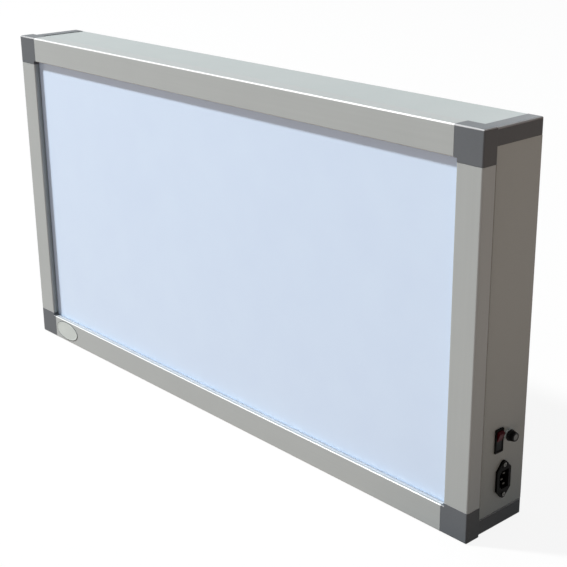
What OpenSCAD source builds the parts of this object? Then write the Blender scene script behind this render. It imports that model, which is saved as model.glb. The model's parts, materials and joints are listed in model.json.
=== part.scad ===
// X-ray film viewer for two films side by side: an opal window in a frame of aluminium bars and moulded
// corners, on a shallow sheet-metal case that holds the lamps, their driver and the controls.
// Millimetres. +Z is up, the window faces -Y, and the controls are on the +X side.
// The origin is the middle of the footprint, on the surface that the viewer stands on.

/* [Window] */
// Width of the window
view_w = 870; // [700:1:1200]
// Height of the window
view_h = 430; // [360:1:520]
// How far the screen lies behind the face of the frame
recess = 9; // [8.5:0.1:11]
// Thickness of the opal screen
screen_t = 3; // [2:0.1:4]
// How far the screen reaches into each bar
screen_grip = 12; // [9:0.5:13]
// Room for the screen to grow at each edge
screen_room = 1.8; // [0.5:0.1:2.5]
// Thickness of the foam strip behind the screen
gasket_t = 1.2; // [0.8:0.1:2]
// Width of the foam strip behind the screen
gasket_w = 8; // [4:0.5:9]

/* [Frame] */
// Width of a bar's face
bar_w = 37; // [35:0.5:45]
// Depth of the frame
frame_d = 23; // [22.5:0.5:36]
// Wall of the hollow bars
bar_wall = 1.6; // [1.2:0.1:1.8]
// Rounding of the frame's outer edges
edge_r = 2.5; // [0.5:0.1:3]
// How far a corner moulding's face reaches past the bars
corner_step = 5; // [2:0.5:10]
// Length of the tongues that join corners and bars
tongue_l = 24; // [15:1:40]
// Wall of the hollow tongues
tongue_wall = 2; // [1.5:0.1:3]

/* [Case] */
// Depth of the whole viewer
depth = 105; // [98:1:140]
// How far the frame stands proud of the case
inset = 2.5; // [1.8:0.1:4]
// Thickness of the case's sheet metal
sheet = 1.2; // [1:0.1:2]
// How far the panels go into the bars
slot_d = 6; // [3:0.5:8]
// Width of the panels' rear flanges
flange_w = 13; // [11:0.5:18]
// Width of a corner's arm along the case's edge
arm_w = 20; // [16:0.5:24]
// Wall of a corner's arm
arm_wall = 2.5; // [2.2:0.1:3.5]
// How far an arm stands proud of the panels
arm_proud = 1; // [0:0.1:1.5]
// Rounding of an arm's long edge
arm_r = 3; // [1:0.1:4]
// Rounding of an arm's rear end
arm_end_r = 4; // [1:0.1:5]
// Width of the ledges that the panels lie on
ledge_w = 8; // [4:0.5:12]
// Thickness of those ledges
ledge_t = 2; // [1.2:0.1:3]
// Screws along the back panel's long edges
back_long_count = 5; // [3:1:9]
// Screws along the back panel's short edges
back_short_count = 2; // [2:1:5]
// Diameter of the rear feet
foot_d = 20; // [12:1:30]
// Distance of the rear feet from the viewer's ends
foot_in = 70; // [40:1:150]
// Distance of the rear feet from the back
foot_back = 20; // [16:1:30]

/* [Wall fixing] */
// Distance between the two keyholes
keyhole_gap = 700; // [400:10:760]
// Diameter of a keyhole's entry
keyhole_d = 10; // [8:0.5:12]
// Width of a keyhole's slot
keyhole_slot = 5; // [4:0.1:6]
// How far a keyhole's slot goes up
keyhole_up = 9; // [6:0.5:14]
// Height of the keyholes' entries below the top
keyhole_down = 62; // [40:1:100]

/* [Vents] */
// Number of vents in a row
vent_count = 20; // [4:1:30]
// Width of the row of vents
vent_row = 560; // [300:10:640]
// Width of a vent
vent_w = 3; // [2:0.1:3.6]
// Height of a vent
vent_h = 26; // [10:1:36]
// Distance of the rows of vents from the viewer's top and bottom
vent_in = 120; // [100:1:150]

/* [Lamps] */
// Room between the reflector tray and the back panel
service_gap = 27; // [26:0.5:29]
// Thickness of the reflector tray's sheet
tray_t = 1; // [0.8:0.1:1.2]
// How far the tray's walls stand outside the window
tray_margin = 2; // [1:0.5:3]
// Width of the tray's front lip
tray_lip = 9; // [8:0.5:10]
// Screws along each long lip of the tray
tray_long_count = 4; // [2:1:8]
// Screws along each short lip of the tray
tray_short_count = 2; // [2:1:4]
// Width of an LED bar
led_bar_w = 16; // [12:1:24]
// Thickness of an LED bar
led_bar_t = 1.6; // [1:0.1:2]
// Distance of the LED bars' ends from the window's sides
led_bar_in = 15; // [5:1:40]
// Distance between LED chips along a bar
led_pitch = 50; // [20:1:80]
// Width of an LED chip
led_w = 5; // [3:0.5:7]
// Thickness of an LED chip
led_t = 0.9; // [0.6:0.1:1.4]
// Screws in each LED bar
led_bar_screw_count = 3; // [2:1:5]

/* [Film grip] */
// Diameter of a film roller
roller_d = 5; // [4.5:0.1:5.4]
// Length of a film roller
roller_l = 110; // [60:1:112]
// Slope of the ramp from upright, in degrees
ramp_angle = 13; // [11:0.5:15]
// Gap between the ramp's lower lip and the screen
film_gap = 4.4; // [4.2:0.1:4.7]
// Height of the ramp's lower lip above the bar's lower edge
ramp_up = 1.5; // [1:0.1:2]
// Thickness of the stops at the rollers' ends
stop_t = 3; // [2:0.5:5]

/* [Badge] */
// Width of the blank badge
badge_w = 62; // [30:1:66]
// Height of the blank badge
badge_h = 31; // [12:0.5:33]
// Thickness of the blank badge
badge_t = 0.8; // [0.4:0.1:1.2]
// Distance of the badge's middle from the left edge
badge_x = 76; // [75:1:200]
// Height of the badge's middle
badge_z = 19.5; // [19:0.1:20]

/* [Mains inlet] */
// Distance of the inlet's middle behind the frame's face
inlet_y = 66; // [62:0.5:70]
// Height of the inlet's middle
inlet_z = 64; // [58:0.5:70]
// Distance between the inlet's two screws
inlet_screw_gap = 40; // [38:0.5:42]
// Width of the inlet's flange
inlet_flange_w = 26; // [25:0.5:30]
// Height of the straight sides of the flange
inlet_flange_side = 27; // [20:0.5:30]
// Radius of the flange's ears
inlet_ear_r = 5.2; // [4.2:0.1:6]
// Thickness of the flange
inlet_flange_t = 3; // [2:0.1:4]
// Width of the socket
socket_w = 16.6; // [16:0.1:18]
// Height of the socket
socket_h = 24.2; // [23.5:0.1:25]
// Cut corners of the socket
socket_cut = 4.4; // [2:0.1:5]
// Depth of the socket
socket_d = 16; // [14:0.5:18]
// Wall around and behind the socket
socket_wall = 1.8; // [1.4:0.1:2.2]
// Distance from the earth pin to the pins beside it
pin_gap = 7; // [6.5:0.1:7.5]
// How far the earth pin is set off from the other two
pin_offset = 4; // [2:0.1:5]
// Width of a pin
pin_w = 4; // [3:0.1:5]
// Thickness of a pin
pin_t = 2; // [1.5:0.1:2.2]
// How far the pins stay below the socket's mouth
pin_below = 2; // [1:0.1:4]
// Length of the solder tabs
tab_l = 6; // [4:0.5:7]

/* [Switch] */
// Distance of the switch's middle behind the frame's face
switch_y = 55; // [53:0.5:56]
// Height of the switch's middle
switch_z = 119; // [112:0.5:150]
// Width of the switch's rim
switch_w = 15; // [14:0.1:15.5]
// Height of the switch's rim
switch_h = 31.5; // [30:0.1:36]
// Thickness of the switch's rim
switch_rim_t = 2; // [1.5:0.1:2.5]
// How much the rim overlaps the panel on each side
switch_rim = 1; // [0.8:0.1:1.6]
// Depth of the switch behind the panel's face
switch_d = 15; // [13:0.5:17]
// Wall of the switch's housing
switch_wall = 1.4; // [1.2:0.1:1.6]
// How far the rocker's pivot lies behind the panel's face
pivot_in = 1; // [0.5:0.1:2]
// Diameter of the rocker's pivot
pivot_d = 2.6; // [2:0.1:3]
// Length of the pivot's stub on each side
pivot_l = 0.9; // [0.6:0.1:1]
// Half of the rocker's swing, in degrees
rocker_tilt = 11; // [8:1:12]
// Height of the rocker's waist above its pivot
rocker_rise = 2.7; // [2.2:0.1:3.2]
// How far the rocker reaches below its pivot
rocker_drop = 4.5; // [3.5:0.1:5]

/* [Dimmer] */
// Distance of the knob's axis behind the frame's face
knob_y = 72.5; // [72:0.5:76]
// Height of the knob's axis
knob_z = 121.5; // [112:0.5:150]
// Diameter of the knob at its base
knob_d = 15; // [13:0.1:15.5]
// Diameter of the knob at its tip
knob_tip_d = 11.4; // [10:0.1:12]
// Height of the knob's plain skirt
knob_skirt = 1.8; // [1:0.1:3]
// Length of the knob
knob_l = 9.2; // [9:0.1:12]
// Gap between the panel and the knob
knob_gap = 3.2; // [3:0.1:4]
// Number of flutes round the knob
knob_flutes = 18; // [8:1:24]
// Diameter of the bright cap in the knob's tip
cap_d = 7.6; // [5:0.1:8]
// Thickness of that cap
cap_t = 0.8; // [0.5:0.1:1.2]
// Diameter of the dimmer's shaft
shaft_d = 6; // [5:0.1:6.2]
// Diameter of the dimmer's threaded bush
bush_d = 7.8; // [7.5:0.1:9]
// Diameter of the potentiometer
pot_d = 16.5; // [14:0.5:17]
// Depth of the potentiometer
pot_l = 9; // [7:0.5:12]
// Width of the dimmer's nut across its flats
dimmer_nut_w = 11; // [10:0.5:12]
// Thickness of the dimmer's nut
dimmer_nut_t = 2; // [1.5:0.1:2.1]
// Thickness of the dimmer's washer
dimmer_washer_t = 0.6; // [0.4:0.1:0.8]
// Diameter of the dimmer's washer
dimmer_washer_d = 12; // [11.6:0.1:13]
// Width of a flute in the knob
flute_w = 1.6; // [0.8:0.1:1.8]
// How far the knob's skirt stands out past its sides
skirt_step = 0.4; // [0.2:0.1:0.6]
// Thickness of the knob under its cap
knob_roof = 1.5; // [1:0.1:2]
// Length of the potentiometer's solder lugs
lug_l = 3; // [2:0.5:4]
// Width of a solder lug
lug_w = 1.2; // [0.8:0.1:1.6]
// Thickness of a solder lug
lug_t = 0.8; // [0.5:0.1:1]

/* [Driver] */
// Distance of the driver's middle from the side with the controls
driver_in = 217.5; // [210:0.5:300]
// Height of the driver's middle above the lowest LED bar
driver_up = 6; // [4:0.5:12]
// Length of the driver
driver_l = 160; // [120:1:170]
// Height of the driver
driver_h = 46; // [36:1:54]
// Thickness of the driver
driver_t = 20; // [18:0.5:21]
// Wall of the driver's case
driver_wall = 1; // [0.8:0.1:1.5]
// Length of the driver's fixing ears
ear_l = 12; // [10:0.5:15]
// Thickness of the driver's board
board_t = 1.6; // [1:0.1:2]
// Room under the driver's board
board_up = 1.2; // [1:0.1:2]
// Diameter of the posts under the board
post_d = 4; // [3:0.5:6]
// Distance of the earth stud from the side with the controls
earth_in = 72.5; // [66:0.5:80]
// Distance of the earth stud below the lowest LED bar
earth_down = 14; // [8:1:20]
// Length of the earth stud behind the tray
stud_l = 8; // [7.5:0.5:10]

/* [Wires] */
// Diameter of a wire
wire_d = 2.4; // [1.6:0.1:2.8]
// Gap between a wire's end and its terminal
wire_gap = 0.5; // [0.4:0.05:0.8]
// Distance of the wires from the wall of the tray
lane_room = 4.5; // [4:0.1:5]
// Radius of the hole in the tray for the wire to the LED bars
wire_hole_r = 5; // [4:0.5:6]
// Distance of that hole from the driver
wire_hole_out = 40; // [35:1:60]

/* [Fasteners] */
// Diameter of the small screws
screw_d = 3; // [2.5:0.1:3.2]
// Diameter of the small screws' heads
screw_head_d = 5.6; // [5:0.1:6]
// Height of the small screws' heads
screw_head_h = 1.6; // [1.2:0.1:2]
// Width of the cross in a screw's head
cross_w = 0.8; // [0.5:0.1:1]
// Length of the small screws
screw_l = 6; // [4.5:0.5:8]
// Width of the small nuts across their flats
nut_w = 5.5; // [5:0.1:6.5]
// Thickness of the small nuts
nut_t = 2.4; // [1.8:0.1:3]

/* [Clearances] */
// Clearance at sliding and plugged fits
fit = 0.15; // [0.1:0.01:0.2]
// Radial clearance of shafts, pins and threads
run = 0.05; // [0.02:0.01:0.1]
// Clearance between pieces that move past each other, and around the inlet in its panel
free = 0.3; // [0.25:0.01:0.4]

/* [Hidden] */
$fn = 64;

// Counts that the node names fix
led_bars = 5;
rollers = 6;

// Overall sizes
width = view_w + 2 * bar_w;
height = view_h + 2 * bar_w;
front_y = -depth / 2;
corner_w = bar_w + corner_step;
bar_x_len = width - 2 * corner_w;
bar_z_len = height - 2 * corner_w;
cut = 1;

// Hollow of the bars, measured from a bar's outer edge and from the frame's face
groove_u = bar_w - screen_grip - screen_room;
groove_t = screen_t + gasket_t + fit;
slot_u = inset - fit;
slot_w = sheet + 2 * fit;
chamber_u = slot_u + slot_w + bar_wall;
chamber_end = groove_u - bar_wall;
chamber_step = frame_d - slot_d - bar_wall;
rear_chamber_y = recess + groove_t + bar_wall;

// Panels
panel_front = frame_d - slot_d + free;
panel_rear = depth - sheet;
arm_in = inset + arm_w;
arm_out = inset - arm_proud;
arm_face = arm_w + arm_proud;
arm_rear = depth + arm_proud;
long_panel = width - 2 * (arm_in + fit);
short_panel = height - 2 * (arm_in + fit);
ledge_end = ledge_w + 2 * fit;
flange_hole = sheet + (flange_w - sheet) / 2;
side_x = width / 2 - inset;

// Tray
tray_y = depth - sheet - service_gap - tray_t;
tray_back = tray_y + tray_t;
tray_out = bar_w - tray_margin - tray_t;
tray_hole = tray_out - tray_lip / 2;
led_front = tray_y - led_bar_t;
led_len = view_w - 2 * led_bar_in;
led_count = floor(led_len / led_pitch);
led_screw_l = led_bar_t + tray_t + 1;

// Film grip: the ramp's lip and the roller's place between ramp and screen
ramp_lip_y = recess - film_gap;
ramp_lip_u = bar_w - ramp_up;
ramp_top_u = groove_u + fit;
ramp_top_y = ramp_lip_y - (ramp_lip_u - ramp_top_u) * tan(ramp_angle);
roller_y = recess - roller_d / 2 - free;
roller_u = ramp_lip_u - ((roller_d / 2 + free) / cos(ramp_angle) - (roller_y - ramp_lip_y)) / tan(ramp_angle);

// Switch
switch_body_w = switch_w - 2 * switch_rim;
switch_body_h = switch_h - 2 * switch_rim;
pocket_w = switch_body_w - 2 * switch_wall;
pocket_h = switch_body_h - 2 * switch_wall;
rocker_w = pocket_w - 2 * free;
rocker_r = pocket_h / 2 - free;

// Inlet
socket_out_w = socket_w + 2 * socket_wall;
socket_out_h = socket_h + 2 * socket_wall;
socket_floor = inlet_flange_t - socket_d;
inlet_back = socket_floor - socket_wall;

// Dimmer
bush_l = dimmer_washer_t + dimmer_nut_t + free;
shaft_in = pot_l / 2;
shaft_out = knob_gap + knob_l - cap_t - knob_roof;

// Driver, its board and what stands on the board
led_bar_top = led_bar_z(1) + led_bar_w / 2;
driver_x = side_x - driver_in;
driver_z = led_bar_top + driver_up;
driver_end = driver_x + driver_l / 2;
board_l = driver_l - 2 * (driver_wall + free);
board_h = driver_h - 2 * (driver_wall + free);
board_face = tray_back + board_up + board_t;
transformer = [driver_l * 0.18, driver_t * 0.6, driver_h * 0.52];
capacitor_d = driver_t * 0.5;
capacitor_l = driver_t * 0.625;
capacitor_x = driver_l * [-0.28, -0.19, 0.21];
block = [driver_l * 0.06, driver_t * 0.25, driver_h * 0.56];
block_in = block[0] / 5;
earth_x = side_x - earth_in;
earth_z = led_bar_z(1) - led_bar_w / 2 - earth_down;

// Ends of the wires, in the frame's own depth
tab_x = side_x + inlet_back - tab_l - wire_gap;
live_tab = [tab_x, inlet_y + pin_offset / 2, inlet_z + pin_gap];
neutral_tab = [tab_x, inlet_y + pin_offset / 2, inlet_z - pin_gap];
earth_tab = [tab_x, inlet_y - pin_offset / 2, inlet_z];
switch_tab_x = side_x - switch_d - tab_l / 2 - wire_gap;
switch_in = [switch_tab_x, switch_y, switch_z - pocket_h / 4];
switch_out = [switch_tab_x, switch_y, switch_z + pocket_h / 4];
dimmer_tab = [side_x - sheet - pot_l / 2 + lug_t / 2, knob_y, knob_z - pot_d / 2 - lug_l - wire_gap];
block_x = driver_x + board_l / 2 - block_in + wire_gap;
block_y = tray_back + driver_t / 4 + wire_d / 2 + wire_gap;
wire_row = driver_h / 6;
stud_end = [earth_x + screw_d / 2 + wire_gap, tray_back + stud_l * 0.6, earth_z];
wire_hole_x = driver_x - driver_l / 2 - wire_hole_out;
wire_hole_z = led_bar_top + wire_hole_r + wire_gap;

// Routes of the wires, beside the tray's wall and behind its back
lane_x = width / 2 - tray_out + lane_room;
lane_y = tray_back + service_gap / 2;
live_turn = [lane_x, live_tab[1] - 3.5, live_tab[2] + 14.5];
live_route = [live_tab, leave(live_tab, live_turn), live_turn,
    [lane_x, switch_in[1] + 3, switch_in[2] - 12], switch_in + [-3, 0.4, -1], switch_in];
switched_route = concat(
    [switch_out, switch_out + [-3, 0.8, 2.5], [lane_x, switch_out[1] + 13, switch_out[2] + 15]],
    home_run([lane_x, lane_y - 5, switch_out[2] + 11], 4, 1)
);
neutral_turn = [lane_x, lane_y - 6, neutral_tab[2] - 7.5];
neutral_route = concat([neutral_tab, leave(neutral_tab, neutral_turn)], home_run(neutral_turn, 8, -1));
dimmer_route = concat([dimmer_tab, dimmer_tab + [-1, 1.2, -4.5]],
    home_run([lane_x - 2.5, lane_y + 1.7, dimmer_tab[2] - 9], 4, 0));
earth_turn = [lane_x - 1, lane_y - 7, earth_tab[2] - 3.5];
earth_route = [earth_tab, leave(earth_tab, earth_turn), earth_turn,
    [lane_x - 12.5, lane_y - 2.3, earth_z], stud_end + [17.8, 4, 0], stud_end + [6.8, 0.8, 0], stud_end];
led_route = [[2 * driver_x - block_x, block_y, driver_z], [wire_hole_x + wire_hole_out - 8, block_y, driver_z],
    [wire_hole_x + 20, block_y + 1.5, driver_z], [wire_hole_x + 8, block_y, wire_hole_z + 1],
    [wire_hole_x + 1.5, tray_back + 3.2, wire_hole_z + 0.8], [wire_hole_x, tray_back, wire_hole_z - 1],
    [wire_hole_x, led_front, led_bar_top + 1]];

// Second point of a wire that leaves a tab square to its end, on the way to its first turn
function leave(tab, turn) = tab + [-3, 0.1 * (turn[1] - tab[1]), 0.1 * (turn[2] - tab[2])];

// Last points of a wire that goes from a corner of the lane to a row of the driver's terminal block
function home_run(corner, bulge, row) =
    let (
        end = [block_x, block_y, driver_z + row * wire_row],
        clear = [driver_end + 20, block_y + 1, end[2]],
        way = clear - corner
    )
    [corner, corner + 0.3 * way + [0, bulge, 0], corner + 0.7 * way + [0, bulge / 2, 0],
        clear, [driver_end + 8, block_y, end[2]], end];

wire_sides = 8;
wire_steps = 4;

// Positions of n pieces spread evenly over a length, about its middle
function spread(n, length) = [for (i = [0:n - 1]) (i + 0.5) * length / n - length / 2];

function unit(v) = v / norm(v);

// A point on the smooth curve through the points p, at the share t of the stretch after point i
function curve_point(p, i, t) =
    let (last = len(p) - 1, a = p[max(i - 1, 0)], b = p[i], c = p[i + 1], d = p[min(i + 2, last)])
    0.5 * (2 * b + (c - a) * t + (2 * a - 5 * b + 4 * c - d) * t * t + (3 * b - a - 3 * c + d) * t * t * t);

function curve(p) = [
    for (i = [0:len(p) - 2]) for (k = [0:wire_steps - 1]) curve_point(p, i, k / wire_steps),
    p[len(p) - 1]
];

function directions(p) = [for (i = [0:len(p) - 1]) unit(p[min(i + 1, len(p) - 1)] - p[max(i - 1, 0)])];

// Normals carried along the directions without twisting
function carried(t) = [
    for (i = 0, n = unit(cross(t[0], [0.3, 0.2, 1])); i < len(t);
        i = i + 1, n = unit(n - (n * t[min(i, len(t) - 1)]) * t[min(i, len(t) - 1)])) n
];

// A round wire along a route
module wire(route) {
    p = curve(route);
    t = directions(p);
    n = carried(t);
    rings = len(p);
    points = [for (i = [0:rings - 1]) for (k = [0:wire_sides - 1])
        let (a = 360 * k / wire_sides) p[i] + wire_d / 2 * (cos(a) * n[i] + sin(a) * cross(t[i], n[i]))];
    side_faces = [for (i = [0:rings - 2]) for (k = [0:wire_sides - 1]) for (half = [0, 1])
        let (m = (k + 1) % wire_sides, a = i * wire_sides, b = a + wire_sides)
        half == 0 ? [a + k, b + k, b + m] : [a + k, b + m, a + m]];
    end = (rings - 1) * wire_sides;
    caps = [for (k = [1:wire_sides - 2]) for (far = [0, 1])
        far == 0 ? [0, k, k + 1] : [end, end + k + 1, end + k]];
    polyhedron(points, concat(side_faces, caps));
}

// Puts pieces that are drawn from the frame's face backwards into place
module from_face() {
    translate([0, front_y, 0]) children();
}

// Puts pieces that are drawn at the bottom bar into the same place at the top bar
module at_top() {
    translate([0, 0, height]) mirror([0, 0, 1]) children();
}

// Turns pieces that are drawn at the bottom bar to the left bar
module at_left() {
    translate([-width / 2, 0, height / 2]) rotate([0, 90, 0]) children();
}

// Puts pieces that are drawn on the face of the right panel, +X outward, into place
module at_side(y, z) {
    translate([side_x, y, z]) children();
}

// Extrudes a section drawn as depth and height along X
module along_x(length) {
    rotate([90, 0, 90]) linear_extrude(length, center = true) children();
}

// Extrudes an outline drawn as X and Z back from the face of the frame
module along_y(start, length) {
    translate([0, start + length, 0]) rotate([90, 0, 0]) linear_extrude(length) children();
}

// Extrudes an outline drawn as Y and Z outward along X
module outward(start, length) {
    translate([start, 0, 0]) rotate([90, 0, 90]) linear_extrude(length) children();
}

// A hole or peg along Y
module peg_y(d, start, length) {
    translate([0, start, 0]) rotate([-90, 0, 0]) cylinder(d = d, h = length);
}

// A hole or peg along X
module peg_x(d, start, length) {
    translate([start, 0, 0]) rotate([0, 90, 0]) cylinder(d = d, h = length);
}

module round_rect(w, h, r) {
    square([w - 2 * r, h], center = true);
    square([w, h - 2 * r], center = true);
    for (x = [-1, 1]) for (y = [-1, 1]) translate([x * (w / 2 - r), y * (h / 2 - r)]) circle(r);
}

// A rectangle from the origin with the corner at the origin rounded
module soft_corner(w, h, r) {
    translate([r, 0]) square([w - r, h]);
    translate([0, r]) square([w, h - r]);
    translate([r, r]) circle(r);
}

// A screw whose head sits on z = 0 and whose shank goes down
module screw(length) {
    difference() {
        cylinder(d1 = screw_head_d, d2 = screw_head_d * 0.8, h = screw_head_h);
        for (a = [0, 90]) rotate(a) translate([-screw_head_d * 0.3, -cross_w / 2, screw_head_h / 2])
            cube([screw_head_d * 0.6, cross_w, screw_head_h]);
    }
    translate([0, 0, -length]) cylinder(d = screw_d, h = length + screw_head_h / 4);
}

// A hexagon nut with its hole, standing on z = 0
module nut(w, t, hole) {
    difference() {
        cylinder(d = w / cos(30), h = t, $fn = 6);
        translate([0, 0, -cut]) cylinder(d = hole, h = t + 2 * cut);
    }
}

// Frame

module bar_section(film_slot) {
    difference() {
        soft_corner(frame_d, bar_w, edge_r);
        // chamber for the corners' tongues, stepped round the panel's slot
        translate([bar_wall, bar_wall]) square([chamber_step - bar_wall, chamber_end - bar_wall]);
        translate([bar_wall, chamber_u]) square([frame_d - 2 * bar_wall, chamber_end - chamber_u]);
        // slot for the edge of a case panel
        translate([frame_d - slot_d, slot_u]) square([slot_d + cut, slot_w]);
        // groove for the screen and its foam strip
        translate([recess, groove_u]) square([groove_t, bar_w]);
        // chamber behind the screen
        translate([rear_chamber_y, groove_u])
            square([frame_d - bar_wall - rear_chamber_y, bar_w - bar_wall - groove_u]);
        if (film_slot)
            // room for the film grip, open to the screen
            translate([bar_wall, groove_u]) square([recess - bar_wall + fit, bar_w]);
        else
            // chamber in front of the screen
            translate([bar_wall, groove_u])
                square([recess - 2 * bar_wall, bar_w - bar_wall - groove_u]);
    }
}

module bezel_bar(length, holes, film_slot = false) {
    color("silver") difference() {
        along_x(length) bar_section(film_slot);
        for (x = holes) translate([x, 0, tray_hole])
            peg_y(screw_d + 2 * run, frame_d - bar_wall - cut, bar_wall + 2 * cut);
    }
}

module bezel_bar_bottom() {
    from_face() bezel_bar(bar_x_len, spread(tray_long_count, view_w));
}

module bezel_bar_top() {
    from_face() at_top() bezel_bar(bar_x_len, spread(tray_long_count, view_w), true);
}

module bezel_bar_left() {
    from_face() at_left() bezel_bar(bar_z_len, spread(tray_short_count, view_h));
}

module bezel_bar_right() {
    mirror([1, 0, 0]) bezel_bar_left();
}

// The face of a corner moulding, with the notch that keeps the window's corner square
module corner_face() {
    difference() {
        soft_corner(corner_w, corner_w, edge_r);
        translate([bar_w, bar_w]) square(corner_step + cut);
    }
}

module corner_block() {
    intersection() {
        along_y(0, frame_d) corner_face();
        translate([corner_w / 2, 0, 0]) along_x(corner_w) soft_corner(frame_d, corner_w, edge_r);
        linear_extrude(corner_w) mirror([1, -1, 0]) soft_corner(frame_d, corner_w, edge_r);
    }
}

// An arm's outline seen from its side: rear end at the origin, rounded there
module arm_side() {
    soft_corner(arm_rear - frame_d + cut, arm_face, arm_end_r);
}

module corner_arm() {
    hollow = arm_out + arm_wall;
    difference() {
        intersection() {
            along_y(frame_d - cut, arm_rear - frame_d + cut)
                translate([arm_out, arm_out]) soft_corner(arm_face, arm_face, arm_r);
            translate([arm_out + arm_face / 2, arm_rear, arm_out]) mirror([0, 1, 0])
                along_x(arm_face) arm_side();
            translate([arm_out, arm_rear, arm_out]) mirror([0, 1, 0])
                linear_extrude(arm_face) mirror([1, -1, 0]) arm_side();
        }
        translate([hollow, frame_d, hollow])
            cube([arm_face, arm_rear - arm_wall - frame_d, arm_face]);
    }
}

// The ledge that a panel along X lies on
module corner_ledge() {
    root = arm_out + arm_wall / 2;
    translate([root, frame_d - cut, slot_u + slot_w])
        cube([arm_in + ledge_w - root, panel_rear - 2 * sheet - frame_d + cut, ledge_t]);
}

// The hollow tongue that goes into a bar along X
module corner_tongue() {
    h = chamber_end - chamber_u - 2 * fit;
    d = frame_d - 2 * (bar_wall + fit);
    translate([corner_w, bar_wall + fit, chamber_u + fit]) difference() {
        translate([-cut, 0, 0]) cube([tongue_l + cut, d, h]);
        translate([0, tongue_wall, tongue_wall])
            cube([tongue_l + cut, d - 2 * tongue_wall, h - 2 * tongue_wall]);
    }
}

// The slot for the edge of a panel along X
module corner_slot() {
    translate([arm_in, frame_d - slot_d, slot_u]) cube([corner_w, slot_d, slot_w]);
}

// Swaps the directions along the two bars that meet in a corner
module swapped() {
    mirror([1, 0, -1]) children();
}

// A corner moulding, drawn as the bottom left one with its outer corner at the origin
module corner() {
    color("dimgray") difference() {
        union() {
            corner_block();
            corner_arm();
            corner_ledge();
            swapped() corner_ledge();
            corner_tongue();
            swapped() corner_tongue();
        }
        corner_slot();
        swapped() corner_slot();
        translate([groove_u, recess, groove_u]) cube([corner_w, groove_t, corner_w]);
    }
}

module corner_bottom_left() {
    from_face() translate([-width / 2, 0, 0]) corner();
}

module corner_bottom_right() {
    mirror([1, 0, 0]) corner_bottom_left();
}

module corner_top_left() {
    at_top() corner_bottom_left();
}

module corner_top_right() {
    mirror([1, 0, 0]) corner_top_left();
}

module badge_plate() {
    outline = [for (a = [0:7.5:352.5]) [badge_w / 2 * cos(a), badge_h / 2 * sin(a)]];
    color("gainsboro") from_face() translate([badge_x - width / 2, 0, badge_z])
        along_y(-badge_t, badge_t) polygon(outline);
}

// Case

// A panel along X, drawn as the bottom one with its outer face on z = 0
module case_panel(length, screws) {
    flange = length - 2 * ledge_end;
    difference() {
        union() {
            translate([-length / 2, panel_front, 0]) cube([length, panel_rear - panel_front, sheet]);
            translate([-flange / 2, panel_rear - sheet, 0]) cube([flange, sheet, flange_w]);
        }
        for (x = spread(screws, flange)) translate([x, 0, flange_hole])
            peg_y(screw_d + 2 * run, panel_rear - sheet - cut, sheet + 2 * cut);
    }
}

module bottom_panel() {
    color("gainsboro") from_face() translate([0, 0, inset]) case_panel(long_panel, back_long_count);
}

module top_panel() {
    at_top() bottom_panel();
}

module left_panel() {
    color("gainsboro") from_face() at_left() translate([0, 0, inset]) case_panel(short_panel, back_short_count);
}

module right_panel() {
    color("gainsboro") difference() {
        mirror([1, 0, 0]) left_panel();
        from_face() at_side(inlet_y, inlet_z) {
            outward(-sheet - cut, sheet + 2 * cut)
                square([socket_out_w + 2 * free, socket_out_h + 2 * free], center = true);
            for (z = [-1, 1]) translate([0, 0, z * inlet_screw_gap / 2])
                peg_x(screw_d + 2 * fit, -sheet - cut, sheet + 2 * cut);
        }
        from_face() at_side(switch_y, switch_z) outward(-sheet - cut, sheet + 2 * cut)
            square([switch_body_w + 2 * fit, switch_body_h + 2 * fit], center = true);
        from_face() at_side(knob_y, knob_z) peg_x(bush_d + 2 * fit, -sheet - cut, sheet + 2 * cut);
    }
}

// A keyhole drawn with the middle of its entry at the origin
module keyhole() {
    circle(d = keyhole_d);
    translate([-keyhole_slot / 2, 0]) square([keyhole_slot, keyhole_up]);
    translate([0, keyhole_up]) circle(d = keyhole_slot);
}

// Calls its child at each of the back panel's screws
module at_back_screws() {
    long_z = height / 2 - inset - flange_hole;
    short_x = side_x - flange_hole;
    for (x = spread(back_long_count, long_panel - 2 * ledge_end)) for (z = [-1, 1])
        translate([x, 0, height / 2 + z * long_z]) children();
    for (z = spread(back_short_count, short_panel - 2 * ledge_end)) for (x = [-1, 1])
        translate([x * short_x, 0, height / 2 + z]) children();
}

module back_panel() {
    notch = arm_w + fit;
    color("gainsboro") from_face() difference() {
        along_y(panel_rear, sheet) difference() {
            translate([-side_x, inset]) square([2 * side_x, height - 2 * inset]);
            for (x = [-1, 1]) for (z = [-1, 1])
                translate([x * (side_x - notch / 2), height / 2 + z * (height / 2 - inset - notch / 2)])
                    square(notch + fit, center = true);
            for (x = [-1, 1]) translate([x * keyhole_gap / 2, height - keyhole_down]) keyhole();
            for (x = spread(vent_count, vent_row)) for (z = [vent_in, height - vent_in])
                translate([x, z]) square([vent_w, vent_h], center = true);
        }
        at_back_screws() peg_y(screw_d + 2 * fit, panel_rear - cut, sheet + 2 * cut);
    }
}

module back_panel_screws() {
    color("silver") from_face() at_back_screws() translate([0, depth, 0]) rotate([-90, 0, 0]) screw(screw_l);
}

module rear_feet() {
    rim = foot_d * 0.06;
    color("black") from_face() for (x = [-1, 1])
        translate([x * (width / 2 - foot_in), depth - foot_back, 0])
            rotate_extrude() polygon([[0, 0], [foot_d / 2 - 2 * rim, 0], [foot_d / 2, inset / 2],
                [foot_d / 2, inset], [0, inset]]);
}

// Screen and lamps

screen_w = view_w + 2 * screen_grip;
screen_h = view_h + 2 * screen_grip;

module diffuser_panel() {
    color("aliceblue") from_face() along_y(recess, screen_t)
        translate([0, height / 2]) square([screen_w, screen_h], center = true);
}

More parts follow.
